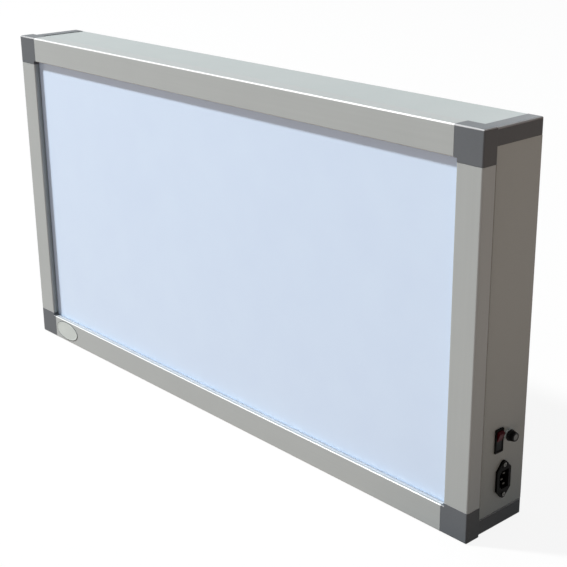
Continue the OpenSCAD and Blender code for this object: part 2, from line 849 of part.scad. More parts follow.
module diffuser_gasket() {
    color("dimgray") from_face() along_y(recess + screen_t, gasket_t) translate([0, height / 2]) difference() {
        square([screen_w, screen_h], center = true);
        square([screen_w - 2 * gasket_w, screen_h - 2 * gasket_w], center = true);
    }
}

// Calls its child at each of the screws in the tray's lips
module at_tray_screws() {
    for (x = spread(tray_long_count, view_w)) for (z = [-1, 1])
        translate([x, 0, height / 2 + z * (height / 2 - tray_hole)]) children();
    for (z = spread(tray_short_count, view_h)) for (x = [-1, 1])
        translate([x * (width / 2 - tray_hole), 0, height / 2 + z]) children();
}

// Height of an LED bar, counted from the lowest
function led_bar_z(i) = bar_w + view_h * (i - 0.5) / led_bars;

// Calls its child at each of the screws of an LED bar, half-way between two chips
module at_led_screws(i) {
    for (j = [0:led_bar_screw_count - 1]) {
        chip = round((j + 0.5) * led_count / led_bar_screw_count);
        translate([chip * led_len / led_count - led_len / 2, 0, led_bar_z(i)]) children();
    }
}

// Calls its child at each of the driver's screws
module at_driver_screws() {
    for (x = [-1, 1]) translate([driver_x + x * (driver_l + ear_l) / 2, 0, driver_z]) children();
}

module tray_outline(out) {
    translate([0, height / 2]) square([width - 2 * out, height - 2 * out], center = true);
}

module reflector_tray() {
    color("white") from_face() difference() {
        union() {
            along_y(tray_y, tray_t) tray_outline(tray_out);
            along_y(frame_d, tray_back - frame_d) difference() {
                tray_outline(tray_out);
                tray_outline(tray_out + tray_t);
            }
            along_y(frame_d, tray_t) difference() {
                tray_outline(tray_out - tray_lip);
                tray_outline(tray_out + tray_t);
            }
        }
        at_tray_screws() peg_y(screw_d + 2 * fit, frame_d - cut, tray_t + 2 * cut);
        for (i = [1:led_bars]) at_led_screws(i) peg_y(screw_d + 2 * run, tray_y - cut, tray_t + 2 * cut);
        at_driver_screws() peg_y(screw_d + 2 * run, tray_y - cut, tray_t + 2 * cut);
        translate([earth_x, 0, earth_z]) peg_y(screw_d + 2 * run, tray_y - cut, tray_t + 2 * cut);
        translate([wire_hole_x, 0, wire_hole_z]) peg_y(2 * wire_hole_r, tray_y - cut, tray_t + 2 * cut);
    }
}

module tray_screws() {
    color("silver") from_face() at_tray_screws() translate([0, frame_d + tray_t, 0]) rotate([-90, 0, 0])
        screw(screw_l);
}

module led_bar(i) {
    color("honeydew") from_face() difference() {
        translate([-led_len / 2, led_front, led_bar_z(i) - led_bar_w / 2])
            cube([led_len, led_bar_t, led_bar_w]);
        at_led_screws(i) peg_y(screw_d + 2 * fit, led_front - cut, led_bar_t + 2 * cut);
    }
}

module led_chips() {
    color("lightyellow") from_face() for (i = [1:led_bars]) for (x = spread(led_count, led_len))
        translate([x - led_w / 2, led_front - led_t, led_bar_z(i) - led_w / 2]) cube([led_w, led_t, led_w]);
}

module led_bar_screws() {
    color("silver") from_face() for (i = [1:led_bars]) at_led_screws(i)
        translate([0, led_front, 0]) rotate([90, 0, 0]) screw(led_screw_l);
}

// Film grip

// Middle of a film roller along the viewer
function roller_x(i) = spread(rollers, view_w)[i - 1];

// Section of the ramp, which fills the space behind the bar's front wall up to the slope
module ramp_section() {
    foot_u = ramp_lip_u + ramp_up / 2;
    intersection() {
        translate([bar_wall, ramp_top_u]) square([recess, foot_u - ramp_top_u]);
        polygon([[-recess, ramp_top_u], [ramp_top_y, ramp_top_u], [ramp_lip_y, ramp_lip_u],
            [ramp_lip_y - ramp_up / 2, foot_u], [-recess, foot_u]]);
    }
}

module film_ramp() {
    color("dimgray") from_face() at_top() along_x(bar_x_len - 2 * fit) ramp_section();
}

// Blocks on the ramp at both ends of each roller, down to the height where it rests
module roller_stops() {
    stop_h = roller_u + roller_d / 2 - ramp_top_u;
    color("dimgray") from_face() at_top() for (i = [1:rollers]) for (end = [-1, 1])
        translate([roller_x(i) + end * (roller_l + stop_t + 2 * free) / 2, 0, 0]) along_x(stop_t) difference() {
            translate([bar_wall, ramp_top_u]) square([recess - free - bar_wall, stop_h]);
            ramp_section();
        }
}

module film_roller(i) {
    color("silver") from_face() at_top() translate([roller_x(i), roller_y, roller_u])
        rotate([0, 90, 0]) cylinder(d = roller_d, h = roller_l, center = true);
}

// Mains inlet

// Outline of the inlet's flange: straight sides that run on to two round ears
module inlet_outline() {
    corner = [inlet_flange_w / 2, inlet_flange_side / 2];
    ear = [0, inlet_screw_gap / 2];
    reach = corner - ear;
    angle = atan2(reach[1], reach[0]) + acos(inlet_ear_r / norm(reach));
    touch = ear + inlet_ear_r * [cos(angle), sin(angle)];
    square([inlet_flange_w, inlet_flange_side], center = true);
    for (end = [-1, 1]) {
        translate([0, end * ear[1]]) circle(inlet_ear_r);
        polygon([[corner[0], 0], [corner[0], end * corner[1]], [touch[0], end * touch[1]],
            [-touch[0], end * touch[1]], [-corner[0], end * corner[1]], [-corner[0], 0]]);
    }
}

// Outline of the socket, with two cut corners towards the front
module socket_outline() {
    w = socket_w / 2;
    h = socket_h / 2;
    polygon([[w, -h], [w, h], [socket_cut - w, h], [-w, h - socket_cut], [-w, socket_cut - h],
        [socket_cut - w, -h]]);
}

// Calls its child at each of the three pins
module at_pins() {
    for (i = [-1, 0, 1]) translate([0, pin_offset * (i == 0 ? -0.5 : 0.5), i * pin_gap]) children();
}

module pin_outline(gap) {
    square([pin_w + 2 * gap, pin_t + 2 * gap], center = true);
}

module inlet_housing() {
    color("black") from_face() at_side(inlet_y, inlet_z) difference() {
        union() {
            outward(0, inlet_flange_t) inlet_outline();
            outward(inlet_back, -inlet_back) square([socket_out_w, socket_out_h], center = true);
        }
        outward(socket_floor, socket_d + cut) socket_outline();
        at_pins() outward(inlet_back - cut, socket_wall + 2 * cut) pin_outline(run);
        for (z = [-1, 1]) translate([0, 0, z * inlet_screw_gap / 2])
            peg_x(screw_d + 2 * fit, -cut, inlet_flange_t + 2 * cut);
    }
}

module inlet_pins() {
    color("silver") from_face() at_side(inlet_y, inlet_z) at_pins()
        outward(inlet_back - tab_l, inlet_flange_t - pin_below - inlet_back + tab_l) pin_outline(0);
}

inlet_screw_l = inlet_flange_t + sheet + nut_t + 1;

module inlet_screws() {
    color("silver") from_face() at_side(inlet_y, inlet_z) for (z = [-1, 1])
        translate([inlet_flange_t, 0, z * inlet_screw_gap / 2]) rotate([0, 90, 0]) screw(inlet_screw_l);
}

module inlet_nuts() {
    color("silver") from_face() at_side(inlet_y, inlet_z) for (z = [-1, 1])
        translate([-sheet, 0, z * inlet_screw_gap / 2]) rotate([0, -90, 0])
            nut(nut_w, nut_t, screw_d + 2 * run);
}

// Switch

module switch_housing() {
    floor_x = -pivot_in - rocker_r * sin(rocker_tilt) - rocker_drop - free;
    color("black") from_face() at_side(switch_y, switch_z) difference() {
        union() {
            outward(0, switch_rim_t) round_rect(switch_w, switch_h, switch_rim);
            outward(-switch_d, switch_d) square([switch_body_w, switch_body_h], center = true);
        }
        outward(floor_x, switch_rim_t - floor_x + cut) square([pocket_w, pocket_h], center = true);
        translate([-pivot_in, 0, 0]) peg_y(pivot_d + 2 * run, -pocket_w / 2 - pivot_l, pocket_w + 2 * pivot_l);
        for (z = [-1, 1]) translate([0, 0, z * pocket_h / 4])
            outward(-switch_d - cut, tab_l / 2 + cut) pin_outline(run);
    }
}

// The rocker, level on its pivot: a slice of a drum with a shallow V for its face
module level_rocker() {
    reach = rocker_r + cut;
    rise = rocker_rise + reach * tan(rocker_tilt);
    rotate([90, 0, 0]) linear_extrude(rocker_w, center = true) intersection() {
        circle(rocker_r);
        polygon([[-rocker_drop, -reach], [rise, -reach], [rocker_rise, 0], [rise, reach],
            [-rocker_drop, reach]]);
    }
    peg_y(pivot_d, -rocker_w / 2 - free - pivot_l + fit, rocker_w + 2 * (free + pivot_l - fit));
}

module switch_rocker() {
    color("firebrick") from_face() at_side(switch_y, switch_z) translate([-pivot_in, 0, 0])
        rotate([0, rocker_tilt, 0]) level_rocker();
}

module switch_terminals() {
    color("goldenrod") from_face() at_side(switch_y, switch_z) for (z = [-1, 1])
        translate([0, 0, z * pocket_h / 4]) outward(-switch_d - tab_l / 2, tab_l) pin_outline(0);
}

// Dimmer

module potentiometer() {
    color("gray") from_face() at_side(knob_y, knob_z) {
        difference() {
            union() {
                peg_x(pot_d, -sheet - pot_l, pot_l);
                peg_x(bush_d, -sheet - cut, sheet + cut + bush_l);
                // solder lugs below the can
                for (y = [-1, 0, 1])
                    translate([-sheet - pot_l / 2, y * pot_d / 4 - lug_w / 2, -pot_d / 2 - lug_l])
                        cube([lug_t, lug_w, pot_d / 2]);
            }
            peg_x(shaft_d + 2 * run, -sheet - shaft_in - run, shaft_in + sheet + bush_l + cut);
        }
    }
}

module dimmer_shaft() {
    color("silver") from_face() at_side(knob_y, knob_z)
        peg_x(shaft_d, -sheet - shaft_in, shaft_in + sheet + shaft_out);
}

module dimmer_washer() {
    color("silver") from_face() at_side(knob_y, knob_z) difference() {
        peg_x(dimmer_washer_d, 0, dimmer_washer_t);
        peg_x(bush_d + 2 * run, -cut, dimmer_washer_t + 2 * cut);
    }
}

module dimmer_nut() {
    color("silver") from_face() at_side(knob_y, knob_z) translate([dimmer_washer_t, 0, 0]) rotate([0, 90, 0])
        nut(dimmer_nut_w, dimmer_nut_t, bush_d + 2 * run);
}

module dimmer_knob() {
    color("black") from_face() at_side(knob_y, knob_z) translate([knob_gap, 0, 0]) difference() {
        union() {
            peg_x(knob_d, 0, knob_skirt);
            rotate([0, 90, 0]) cylinder(d1 = knob_d - 2 * skirt_step, d2 = knob_tip_d, h = knob_l);
        }
        for (i = [1:knob_flutes]) rotate([360 * i / knob_flutes, 0, 0])
            translate([0, 0, knob_d / 2]) peg_x(flute_w, knob_skirt, knob_l);
        peg_x(shaft_d + 2 * run, -cut, shaft_out - knob_gap + cut + run);
        peg_x(cap_d + 2 * run, knob_l - cap_t, cap_t + cut);
    }
}

module knob_cap() {
    color("silver") from_face() at_side(knob_y, knob_z) peg_x(cap_d, knob_gap + knob_l - cap_t, cap_t);
}

// Driver and wiring

module driver_case() {
    w = driver_wall;
    color("silver") from_face() difference() {
        union() {
            translate([driver_x - driver_l / 2, tray_back, driver_z - driver_h / 2])
                cube([driver_l, driver_t, driver_h]);
            translate([driver_x - driver_l / 2 - ear_l, tray_back, driver_z - ear_l / 2])
                cube([driver_l + 2 * ear_l, w, ear_l]);
        }
        translate([driver_x - driver_l / 2 + w, tray_back - cut, driver_z - driver_h / 2 + w])
            cube([driver_l - 2 * w, driver_t - w + cut, driver_h - 2 * w]);
        at_driver_screws() peg_y(screw_d + 2 * fit, tray_back - cut, w + 2 * cut);
        // ways in and out for the wires
        translate([driver_x - driver_l / 2 - cut, tray_back + driver_t / 4, driver_z - driver_h / 3])
            cube([driver_l + 2 * cut, driver_t / 2, driver_h * 2 / 3]);
    }
}

module driver_board() {
    color("darkgreen") from_face() translate([driver_x, 0, driver_z]) {
        translate([-board_l / 2, tray_back + board_up, -board_h / 2]) cube([board_l, board_t, board_h]);
        // posts under the board
        for (x = [-1, 1]) for (z = [-1, 1])
            translate([x * (board_l / 2 - post_d), 0, z * (board_h / 2 - post_d)])
                peg_y(post_d, tray_back, board_up + board_t / 2);
        // transformer, capacitors and terminal blocks
        translate([-transformer[0] / 2, board_face - cut, -transformer[2] / 2])
            cube(transformer + [0, cut, 0]);
        for (x = capacitor_x) translate([x, 0, driver_h * 0.13])
            peg_y(capacitor_d, board_face - cut, capacitor_l + cut);
        for (x = [-1, 1]) translate([x * (board_l / 2 - block_in - block[0] / 2), 0, 0])
            translate([-block[0] / 2, board_face - cut, -block[2] / 2]) cube(block + [0, cut, 0]);
    }
}

module driver_screws() {
    color("silver") from_face() at_driver_screws()
        translate([0, tray_back + driver_wall, 0]) rotate([-90, 0, 0]) screw(screw_l);
}

module earth_stud() {
    color("goldenrod") from_face() translate([earth_x, tray_y, earth_z]) {
        translate([0, tray_t, 0]) rotate([-90, 0, 0]) cylinder(d = nut_w / cos(30), h = nut_t, $fn = 6);
        peg_y(screw_d, -tray_t, 2 * tray_t + stud_l);
    }
}

module live_wire() {
    color("saddlebrown") from_face() wire(live_route);
}

module switched_wire() {
    color("saddlebrown") from_face() wire(switched_route);
}

module neutral_wire() {
    color("steelblue") from_face() wire(neutral_route);
}

module earth_wire() {
    color("yellowgreen") from_face() wire(earth_route);
}

module dimmer_wire() {
    color("darkslategray") from_face() wire(dimmer_route);
}

module led_wire() {
    color("darkslategray") from_face() wire(led_route);
}

bezel_bar_top();
bezel_bar_bottom();
bezel_bar_left();
bezel_bar_right();
corner_top_left();
corner_top_right();
corner_bottom_left();
corner_bottom_right();
top_panel();
bottom_panel();
left_panel();
right_panel();
back_panel();
back_panel_screws();
rear_feet();
diffuser_panel();
diffuser_gasket();
reflector_tray();
tray_screws();
for (i = [1:led_bars]) led_bar(i);
led_chips();
led_bar_screws();
film_ramp();
roller_stops();
for (i = [1:rollers]) film_roller(i);
badge_plate();
inlet_housing();
inlet_pins();
inlet_screws();
inlet_nuts();
switch_housing();
switch_rocker();
switch_terminals();
potentiometer();
dimmer_shaft();
dimmer_washer();
dimmer_nut();
dimmer_knob();
knob_cap();
driver_case();
driver_board();
driver_screws();
earth_stud();
live_wire();
switched_wire();
neutral_wire();
earth_wire();
dimmer_wire();
led_wire();
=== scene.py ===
"""Looks of an x-ray film viewer for two films side by side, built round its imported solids.

Every length is in metres, in the solids' own frame: +Z is up, the screen faces -Y and the controls are on the +X side.
"""

import json
import math

import bmesh
import bpy
from mathutils import Matrix, Vector


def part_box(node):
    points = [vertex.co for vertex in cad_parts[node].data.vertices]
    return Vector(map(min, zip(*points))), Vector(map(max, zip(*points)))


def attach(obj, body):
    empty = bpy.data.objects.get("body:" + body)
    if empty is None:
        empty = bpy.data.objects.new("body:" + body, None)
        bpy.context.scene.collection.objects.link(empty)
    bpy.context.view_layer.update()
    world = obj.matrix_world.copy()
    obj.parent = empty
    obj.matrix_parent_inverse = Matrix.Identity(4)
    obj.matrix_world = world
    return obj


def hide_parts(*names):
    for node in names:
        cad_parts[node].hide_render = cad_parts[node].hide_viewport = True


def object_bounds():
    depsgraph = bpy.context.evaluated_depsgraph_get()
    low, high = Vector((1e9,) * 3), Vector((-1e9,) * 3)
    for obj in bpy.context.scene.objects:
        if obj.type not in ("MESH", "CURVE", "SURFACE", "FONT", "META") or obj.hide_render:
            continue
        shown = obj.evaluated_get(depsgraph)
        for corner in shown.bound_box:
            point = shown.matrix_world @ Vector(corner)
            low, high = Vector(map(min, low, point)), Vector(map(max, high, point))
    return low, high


bl_info = {
    "name": "X-ray film viewer",
    "version": (1, 0, 0),
    "blender": (4, 5, 0),
    "location": "View3D > Sidebar > Film Viewer",
    "description": "Dresses the solids of an x-ray film viewer with its finishes and finer pieces",
    "category": "Add Mesh",
}

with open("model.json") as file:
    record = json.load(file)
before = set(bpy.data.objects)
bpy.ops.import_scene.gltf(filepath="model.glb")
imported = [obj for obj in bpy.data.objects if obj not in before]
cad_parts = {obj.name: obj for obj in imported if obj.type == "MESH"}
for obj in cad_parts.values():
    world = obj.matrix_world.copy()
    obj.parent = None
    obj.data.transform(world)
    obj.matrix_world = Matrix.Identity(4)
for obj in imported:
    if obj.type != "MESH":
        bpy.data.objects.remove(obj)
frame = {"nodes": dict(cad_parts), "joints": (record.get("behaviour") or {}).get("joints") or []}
CAD_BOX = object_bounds()
NODES = frame["nodes"]
MM = 0.001


def linear(code):
    """Linear colour, with alpha, of an sRGB hex value."""
    parts = [int(code[i : i + 2], 16) / 255 for i in (1, 3, 5)]
    return tuple(c / 12.92 if c <= 0.04045 else ((c + 0.055) / 1.055) ** 2.4 for c in parts) + (1.0,)


def colour(name, description, code):
    """A colour that a user may change, from its sRGB hex value."""
    return bpy.props.FloatVectorProperty(
        name=name, description=description, subtype="COLOR", size=4, min=0, max=1, default=linear(code)
    )


def length(name, description, mm):
    """A length that a user may change, from its millimetres."""
    return bpy.props.FloatProperty(
        name=name, description=description, unit="LENGTH", subtype="DISTANCE", min=0, precision=5, default=mm * MM
    )


def angle(name, description, degrees):
    """An angle that a user may change, from its degrees."""
    return bpy.props.FloatProperty(
        name=name, description=description, unit="ROTATION", subtype="ANGLE", default=math.radians(degrees)
    )


class ViewerColours(bpy.types.PropertyGroup):
    """Colours of the viewer's finishes"""

    bars: colour("Bars", "Anodised skin of the frame's bars", "#aab0af")
    # Painted shade along the crevice where the case's side panels go into the upright bars.
    dust: colour("Dust", "Dust in the seams between the frame and the case", "#6f6a62")
    corners: colour("Corners", "Plastic of the corner mouldings", "#696e72")
    panels: colour("Panels", "Powder coat of the case", "#b1b9b8")
    screen: colour("Screen", "Opal acrylic of the screen", "#d4e8ff")
    black: colour("Black plastic", "Plastic of the inlet, switch and knob", "#0c0b0a")
    red: colour("Red plastic", "Lens of the rocker", "#4c0e16")
    steel: colour("Steel", "Zinc plate of the screws and rollers", "#b9bcb9")
    burnished: colour("Burnished steel", "Inlet's screws", "#53524f")
    bright: colour("Turned aluminium", "Shaft of the dimmer", "#d2d5d4")
    cap: colour("Knob cap", "Dark anodised inset of the knob", "#4c4a46")
    # Painted shade: darkened well below bright nickel, for the contacts deep in the inlet's recess.
    nickel: colour("Contacts", "Nickel plate of the pins and terminals", "#35322d")
    brass: colour("Earth stud", "Brass of the earth stud", "#c9b26b")
    badge: colour("Badge", "Foil of the blank badge", "#c3cac6")
    badge_line: colour("Badge line", "Lacquered line round the badge", "#4e5654")
    rubber: colour("Rubber", "Rear feet", "#1c1c1d")
    foam: colour("Foam", "Strip behind the screen", "#2b2c2e")
    tray: colour("Tray", "Enamel of the reflector tray", "#f1f2ee")
    lamp_board: colour("Lamp boards", "Solder mask of the LED bars", "#e9ebe6")
    phosphor: colour("LED chips", "Phosphor of the LED chips", "#e8d774")
    driver: colour("Driver shell", "Galvanised sheet of the driver", "#a9adad")
    board: colour("Driver board", "Solder mask of the driver's board", "#1f5a3a")
    brown: colour("Brown wire", "Insulation of the live wires", "#5a3322")
    blue: colour("Blue wire", "Insulation of the neutral wire", "#2c5f9e")
    earth: colour("Earth wire", "Insulation of the earth wire", "#8fa832")
    black_wire: colour("Black wire", "Insulation of the low-voltage wires", "#1d1e20")


class ViewerDetails(bpy.types.PropertyGroup):
    """Sizes of the finer details"""

    bar_edge: length("Bar edges", "Rounding between a bar's face and the window", 1.5)
    # Width of the painted shade along the upright bars' rear seam.
    seam: length("Seam", "Width of the dust along a seam", 1.4)
    corner_edge: length("Corner edges", "Rounding of the mouldings' sharp edges", 0.7)
    small_edge: length("Small edges", "Rounding of small moulded edges", 0.3)
    badge_line: length("Badge line", "Width of the dark line round the badge", 1.1)
    badge_bead: length("Badge bead", "Width of the bead inside the line", 1.2)
    flute_depth: length("Flute depth", "Depth of the knob's flutes", 0.75)
    cross_arm: length("Cross", "Width of the cross in a screw's head", 0.9)


class ViewerStage(bpy.types.PropertyGroup):
    """Camera and light"""

    azimuth: angle("Azimuth", "Camera's turn to the right of the screen", 48.2703)
    elevation: angle("Elevation", "Camera's pitch below the horizon", 19.9026)
    roll: angle("Roll", "Camera's tilt to its right", -0.6672)
    place: bpy.props.FloatVectorProperty(
        name="Place", description="Where the camera stands", subtype="TRANSLATION", unit="LENGTH",
        default=(1.28293, -1.062369, 0.796932),
    )
    lens: bpy.props.FloatProperty(
        name="Lens", description="Focal length in millimetres on a 36 mm wide sensor", default=78.434, min=10
    )
    floor: colour("Floor", "Pale studio floor, as it is seen", "#f7f7f6")
    bounce: colour("Bounce", "Light that the floor gives to the object", "#c6ae9e")
    shade: colour("Shade", "The same, at the foot of the object's right side", "#0a0a0a")
    sky: colour("Sky", "Even light from all round", "#767a7f")
    wall: colour("Wall", "Dimmer light from the right", "#4a4846")
    key: bpy.props.FloatProperty(name="Key", description="Power of the key lamp in watts", default=1720, min=0)
    front: bpy.props.FloatProperty(name="Front", description="Strength of the wide lamp in front", default=0.36, min=0)
    back: bpy.props.FloatProperty(name="Back", description="Strength of the wide lamp behind", default=1.1, min=0)


def colours():
    """The colours in use."""
    return bpy.context.scene.viewer_colours


def details():
    """The sizes of the finer details in use."""
    return bpy.context.scene.viewer_details


# Finishes


def node(tree, kind, inputs=None, **settings):
    """Adds a node with its settings, and with values or links for its sockets."""
    made = tree.nodes.new(kind)
    for name, value in settings.items():
        setattr(made, name, value)
    for socket, value in (inputs or {}).items():
        if isinstance(value, bpy.types.NodeSocket):
            tree.links.new(value, made.inputs[socket])
        else:
            made.inputs[socket].default_value = value
    return made


# What each finish is made of: its colour, the size of its grain along x, y and z in mm, the depth of that grain in mm,
# how far the grain lightens and darkens the colour, how far a painted highlight lightens its round edges that face up,
# and the shader's own sockets.
FINISHES = {
    # Extruded aluminium, satin anodised: an even, slightly milky sheen with faint die lines along the bar.
    # Real die lines are about 0.2 mm apart, too fine to show, and are drawn 3 mm apart.
    # The bars' round edges that face up carry a painted highlight.
    "anodised_aluminium_across": dict(
        colour="bars", grain=(220, 3, 3), depth=0.006, contrast=0.02, wear=0.75,
        Metallic=0.04, Roughness=0.33, Specular=0.4,
    ),
    "anodised_aluminium_upright": dict(
        colour="bars", grain=(3, 3, 220), depth=0.006, contrast=0.02, wear=0.75,
        Metallic=0.04, Roughness=0.33, Specular=0.4,
    ),
    # ABS moulded in a spark-eroded tool: a half-gloss grey with a fine grain, 0.4 mm in life and drawn at 1.1 mm,
    # whose round edges that face up carry a painted highlight.
    "moulded_abs_grey": dict(
        colour="corners", grain=(1.1, 1.1, 1.1), depth=0.012, contrast=0.04, wear=0.45,
        Roughness=0.33, Specular=0.06,
    ),
    # The same plastic from a smooth tool, for the film grip.
    "moulded_abs_smooth": dict(
        colour="corners", grain=(2, 2, 2), depth=0.004, contrast=0.04, Roughness=0.4, Specular=0.2
    ),
    # Steel sheet with a baked powder coat: pale grey, half gloss, with the soft orange peel of the powder.
    "powder_coated_steel": dict(
        colour="panels", grain=(2.2, 2.2, 2.2), depth=0.012, contrast=0.018, Roughness=0.42, Specular=0.25
    ),
    # Cast opal acrylic: a bluish white body colour under a smooth glossy skin, with a faint cloudiness.
    "cast_opal_acrylic": dict(colour="screen", grain=(55, 55, 55), depth=0, contrast=0.012, Roughness=0.16, IOR=1.49),
    # Glass-filled nylon, moulded: near black and fairly dull, with a slightly cloudy skin.
    "moulded_nylon_black": dict(
        colour="black", grain=(0.7, 0.7, 0.7), depth=0.015, contrast=0.12, Roughness=0.5, Specular=0.03
    ),
    # Polycarbonate, moulded in two shots: a deep red lens over black, with a smooth skin.
    "two_shot_polycarbonate": dict(
        colour="red", grain=(2, 2, 2), depth=0.004, contrast=0.06, Roughness=0.4, Specular=0.04
    ),
    # ABS moulded glossy for the knob: near black with a soft shine on its flutes.
    "moulded_abs_black": dict(
        colour="black", grain=(0.5, 0.5, 0.5), depth=0.008, contrast=0.1, Roughness=0.36, Specular=0.1
    ),
    # Zinc-plated steel: bright and slightly uneven, as plating is.
    "zinc_plated_steel": dict(
        colour="steel", grain=(0.9, 0.9, 0.9), depth=0.006, contrast=0.08, Metallic=1.0, Roughness=0.34
    ),
    # Burnished steel: a dim brownish metal, as screws have that are darkened to match black plastic.
    "burnished_steel": dict(
        colour="burnished", grain=(0.9, 0.9, 0.9), depth=0.006, contrast=0.1, Metallic=1.0, Roughness=0.4
    ),
    # Turned aluminium: bright with tool marks round its axis, which runs along x.
    "turned_aluminium": dict(
        colour="bright", grain=(0.35, 3, 3), depth=0.008, contrast=0.06, Metallic=1.0, Roughness=0.33
    ),
    # Spun aluminium, anodised dark: a dim metal disc.
    "dark_anodised_aluminium": dict(
        colour="cap", grain=(0.35, 3, 3), depth=0.006, contrast=0.08, Metallic=0.8, Roughness=0.36
    ),
    # Nickel-plated brass contacts, smooth, with a colour darkened well below bright nickel as painted shade for the
    # inlet's deep recess.
    "nickel_plated_brass": dict(
        colour="nickel", grain=(1.5, 1.5, 1.5), depth=0.005, contrast=0.06, Metallic=1.0, Roughness=0.36
    ),
    # Turned brass: warm and bright.
    "turned_brass": dict(
        colour="brass", grain=(1.5, 1.5, 0.4), depth=0.005, contrast=0.06, Metallic=1.0, Roughness=0.33
    ),
    # Brushed foil badge: pale, with short brush strokes along x, 0.15 mm in life and drawn 0.8 mm apart.
    "brushed_foil": dict(
        colour="badge", grain=(14, 0.8, 0.8), depth=0.006, contrast=0.05, Metallic=0.35, Roughness=0.32
    ),
    # Lacquer in the badge's line: dark and smooth.
    "lacquered_line": dict(colour="badge_line", grain=(1, 1, 1), depth=0.004, contrast=0.05, Roughness=0.35),
    # Moulded rubber: near black and dull.
    "moulded_rubber": dict(colour="rubber", grain=(0.8, 0.8, 0.8), depth=0.03, contrast=0.12, Roughness=0.75),
    # Closed-cell foam strip: dark, dull and full of small cells.
    "cellular_foam": dict(colour="foam", grain=(0.8, 0.8, 0.8), depth=0.12, contrast=0.25, Roughness=0.9),
    # Stove-enamelled sheet: white and half gloss.
    "white_enamel": dict(colour="tray", grain=(3, 3, 3), depth=0.015, contrast=0.012, Roughness=0.35),
    # White solder mask over glass-fibre board: smooth, with the weave just showing.
    "white_solder_mask": dict(colour="lamp_board", grain=(1.2, 1.2, 1.2), depth=0.01, contrast=0.03, Roughness=0.33),
    # Silicone with phosphor: yellow and slightly grainy.
    "silicone_phosphor": dict(colour="phosphor", grain=(0.3, 0.3, 0.3), depth=0.01, contrast=0.08, Roughness=0.4),
    # Galvanised sheet: grey spangles a few millimetres wide.
    "galvanised_sheet": dict(
        colour="driver", grain=(6, 6, 6), depth=0.004, contrast=0.12, Metallic=1.0, Roughness=0.38
    ),
    # Green solder mask over glass-fibre board.
    "green_solder_mask": dict(colour="board", grain=(1.2, 1.2, 1.2), depth=0.01, contrast=0.08, Roughness=0.33),
    # PVC insulation, extruded: smooth and slightly waxy.
    "pvc_brown": dict(colour="brown", grain=(2, 2, 2), depth=0.01, contrast=0.06, Roughness=0.45),
    "pvc_blue": dict(colour="blue", grain=(2, 2, 2), depth=0.01, contrast=0.06, Roughness=0.45),
    "pvc_green_yellow": dict(colour="earth", grain=(9, 9, 9), depth=0.01, contrast=0.3, Roughness=0.45),
    "pvc_black": dict(colour="black_wire", grain=(2, 2, 2), depth=0.01, contrast=0.08, Roughness=0.45),
}
SHADER_SOCKETS = {"Specular": "Specular IOR Level"}
# Slow unevenness of a coat or moulding and of the hands that touch it, in mm, and how far it changes the roughness.
CLOUD = 70
SHEEN = 0.1
# The values that the slow noise lies between, and those of the slow and the fine noise added up.
SLOW_LOW, SLOW_HIGH = 0.3, 0.7
SUM_LOW, SUM_HIGH = 0.7, 1.3
# How far up a normal points where the painted edge highlight begins off an upright wall and where it is full, and the
# same off a flat top.
WALL_BEGIN, WALL_FULL = 0.1, 0.45
TOP_BEGIN, TOP_FULL = 0.99, 0.9


def finish(name):
    """The material of a finish, made the first time that it is asked for."""
    if name in bpy.data.materials:
        return bpy.data.materials[name]
    facts = dict(FINISHES[name])
    base = getattr(colours(), facts.pop("colour"))[:3]
    grain, depth, contrast = facts.pop("grain"), facts.pop("depth"), facts.pop("contrast")
    wear, roughness = facts.pop("wear", 0), facts.pop("Roughness")
    made = bpy.data.materials.new(name)
    made.use_nodes = True
    tree = made.node_tree
    shader = tree.nodes["Principled BSDF"]
    for socket, value in facts.items():
        shader.inputs[SHADER_SOCKETS.get(socket, socket)].default_value = value
    place = node(tree, "ShaderNodeTexCoord").outputs["Object"]
    scaled = node(tree, "ShaderNodeMapping", {"Vector": place, "Scale": [1 / (g * MM) for g in grain]})
    fine = node(tree, "ShaderNodeTexNoise", {"Vector": scaled.outputs[0], "Scale": 1.0, "Detail": 3.0})
    slow = node(tree, "ShaderNodeTexNoise", {"Vector": place, "Scale": 1 / (CLOUD * MM), "Detail": 2.0})
    both = node(tree, "ShaderNodeMath", {0: fine.outputs[0], 1: slow.outputs[0]}, operation="ADD")
    share = node(tree, "ShaderNodeMapRange", {"Value": both.outputs[0], "From Min": SUM_LOW, "From Max": SUM_HIGH})
    tint = node(
        tree, "ShaderNodeMix",
        {
            "Factor": share.outputs[0],
            "A": [c * (1 - contrast) for c in base] + [1],
            "B": [min(1, c * (1 + contrast)) for c in base] + [1],
        },
        data_type="RGBA",
    ).outputs["Result"]
    # Round edges that face up get a painted highlight.
    if wear:
        tint = painted_edge_highlight(tree, tint, base, wear)
    tree.links.new(tint, shader.inputs["Base Color"])
    sheen = node(
        tree, "ShaderNodeMapRange",
        {
            "Value": slow.outputs[0],
            "From Min": SLOW_LOW,
            "From Max": SLOW_HIGH,
            "To Min": roughness * (1 - SHEEN),
            "To Max": roughness * (1 + SHEEN),
        },
    )
    tree.links.new(sheen.outputs[0], shader.inputs["Roughness"])
    if depth:
        bump = node(tree, "ShaderNodeBump", {"Height": fine.outputs[0], "Distance": depth * MM, "Strength": 1.0})
        tree.links.new(bump.outputs[0], shader.inputs["Normal"])
    return made


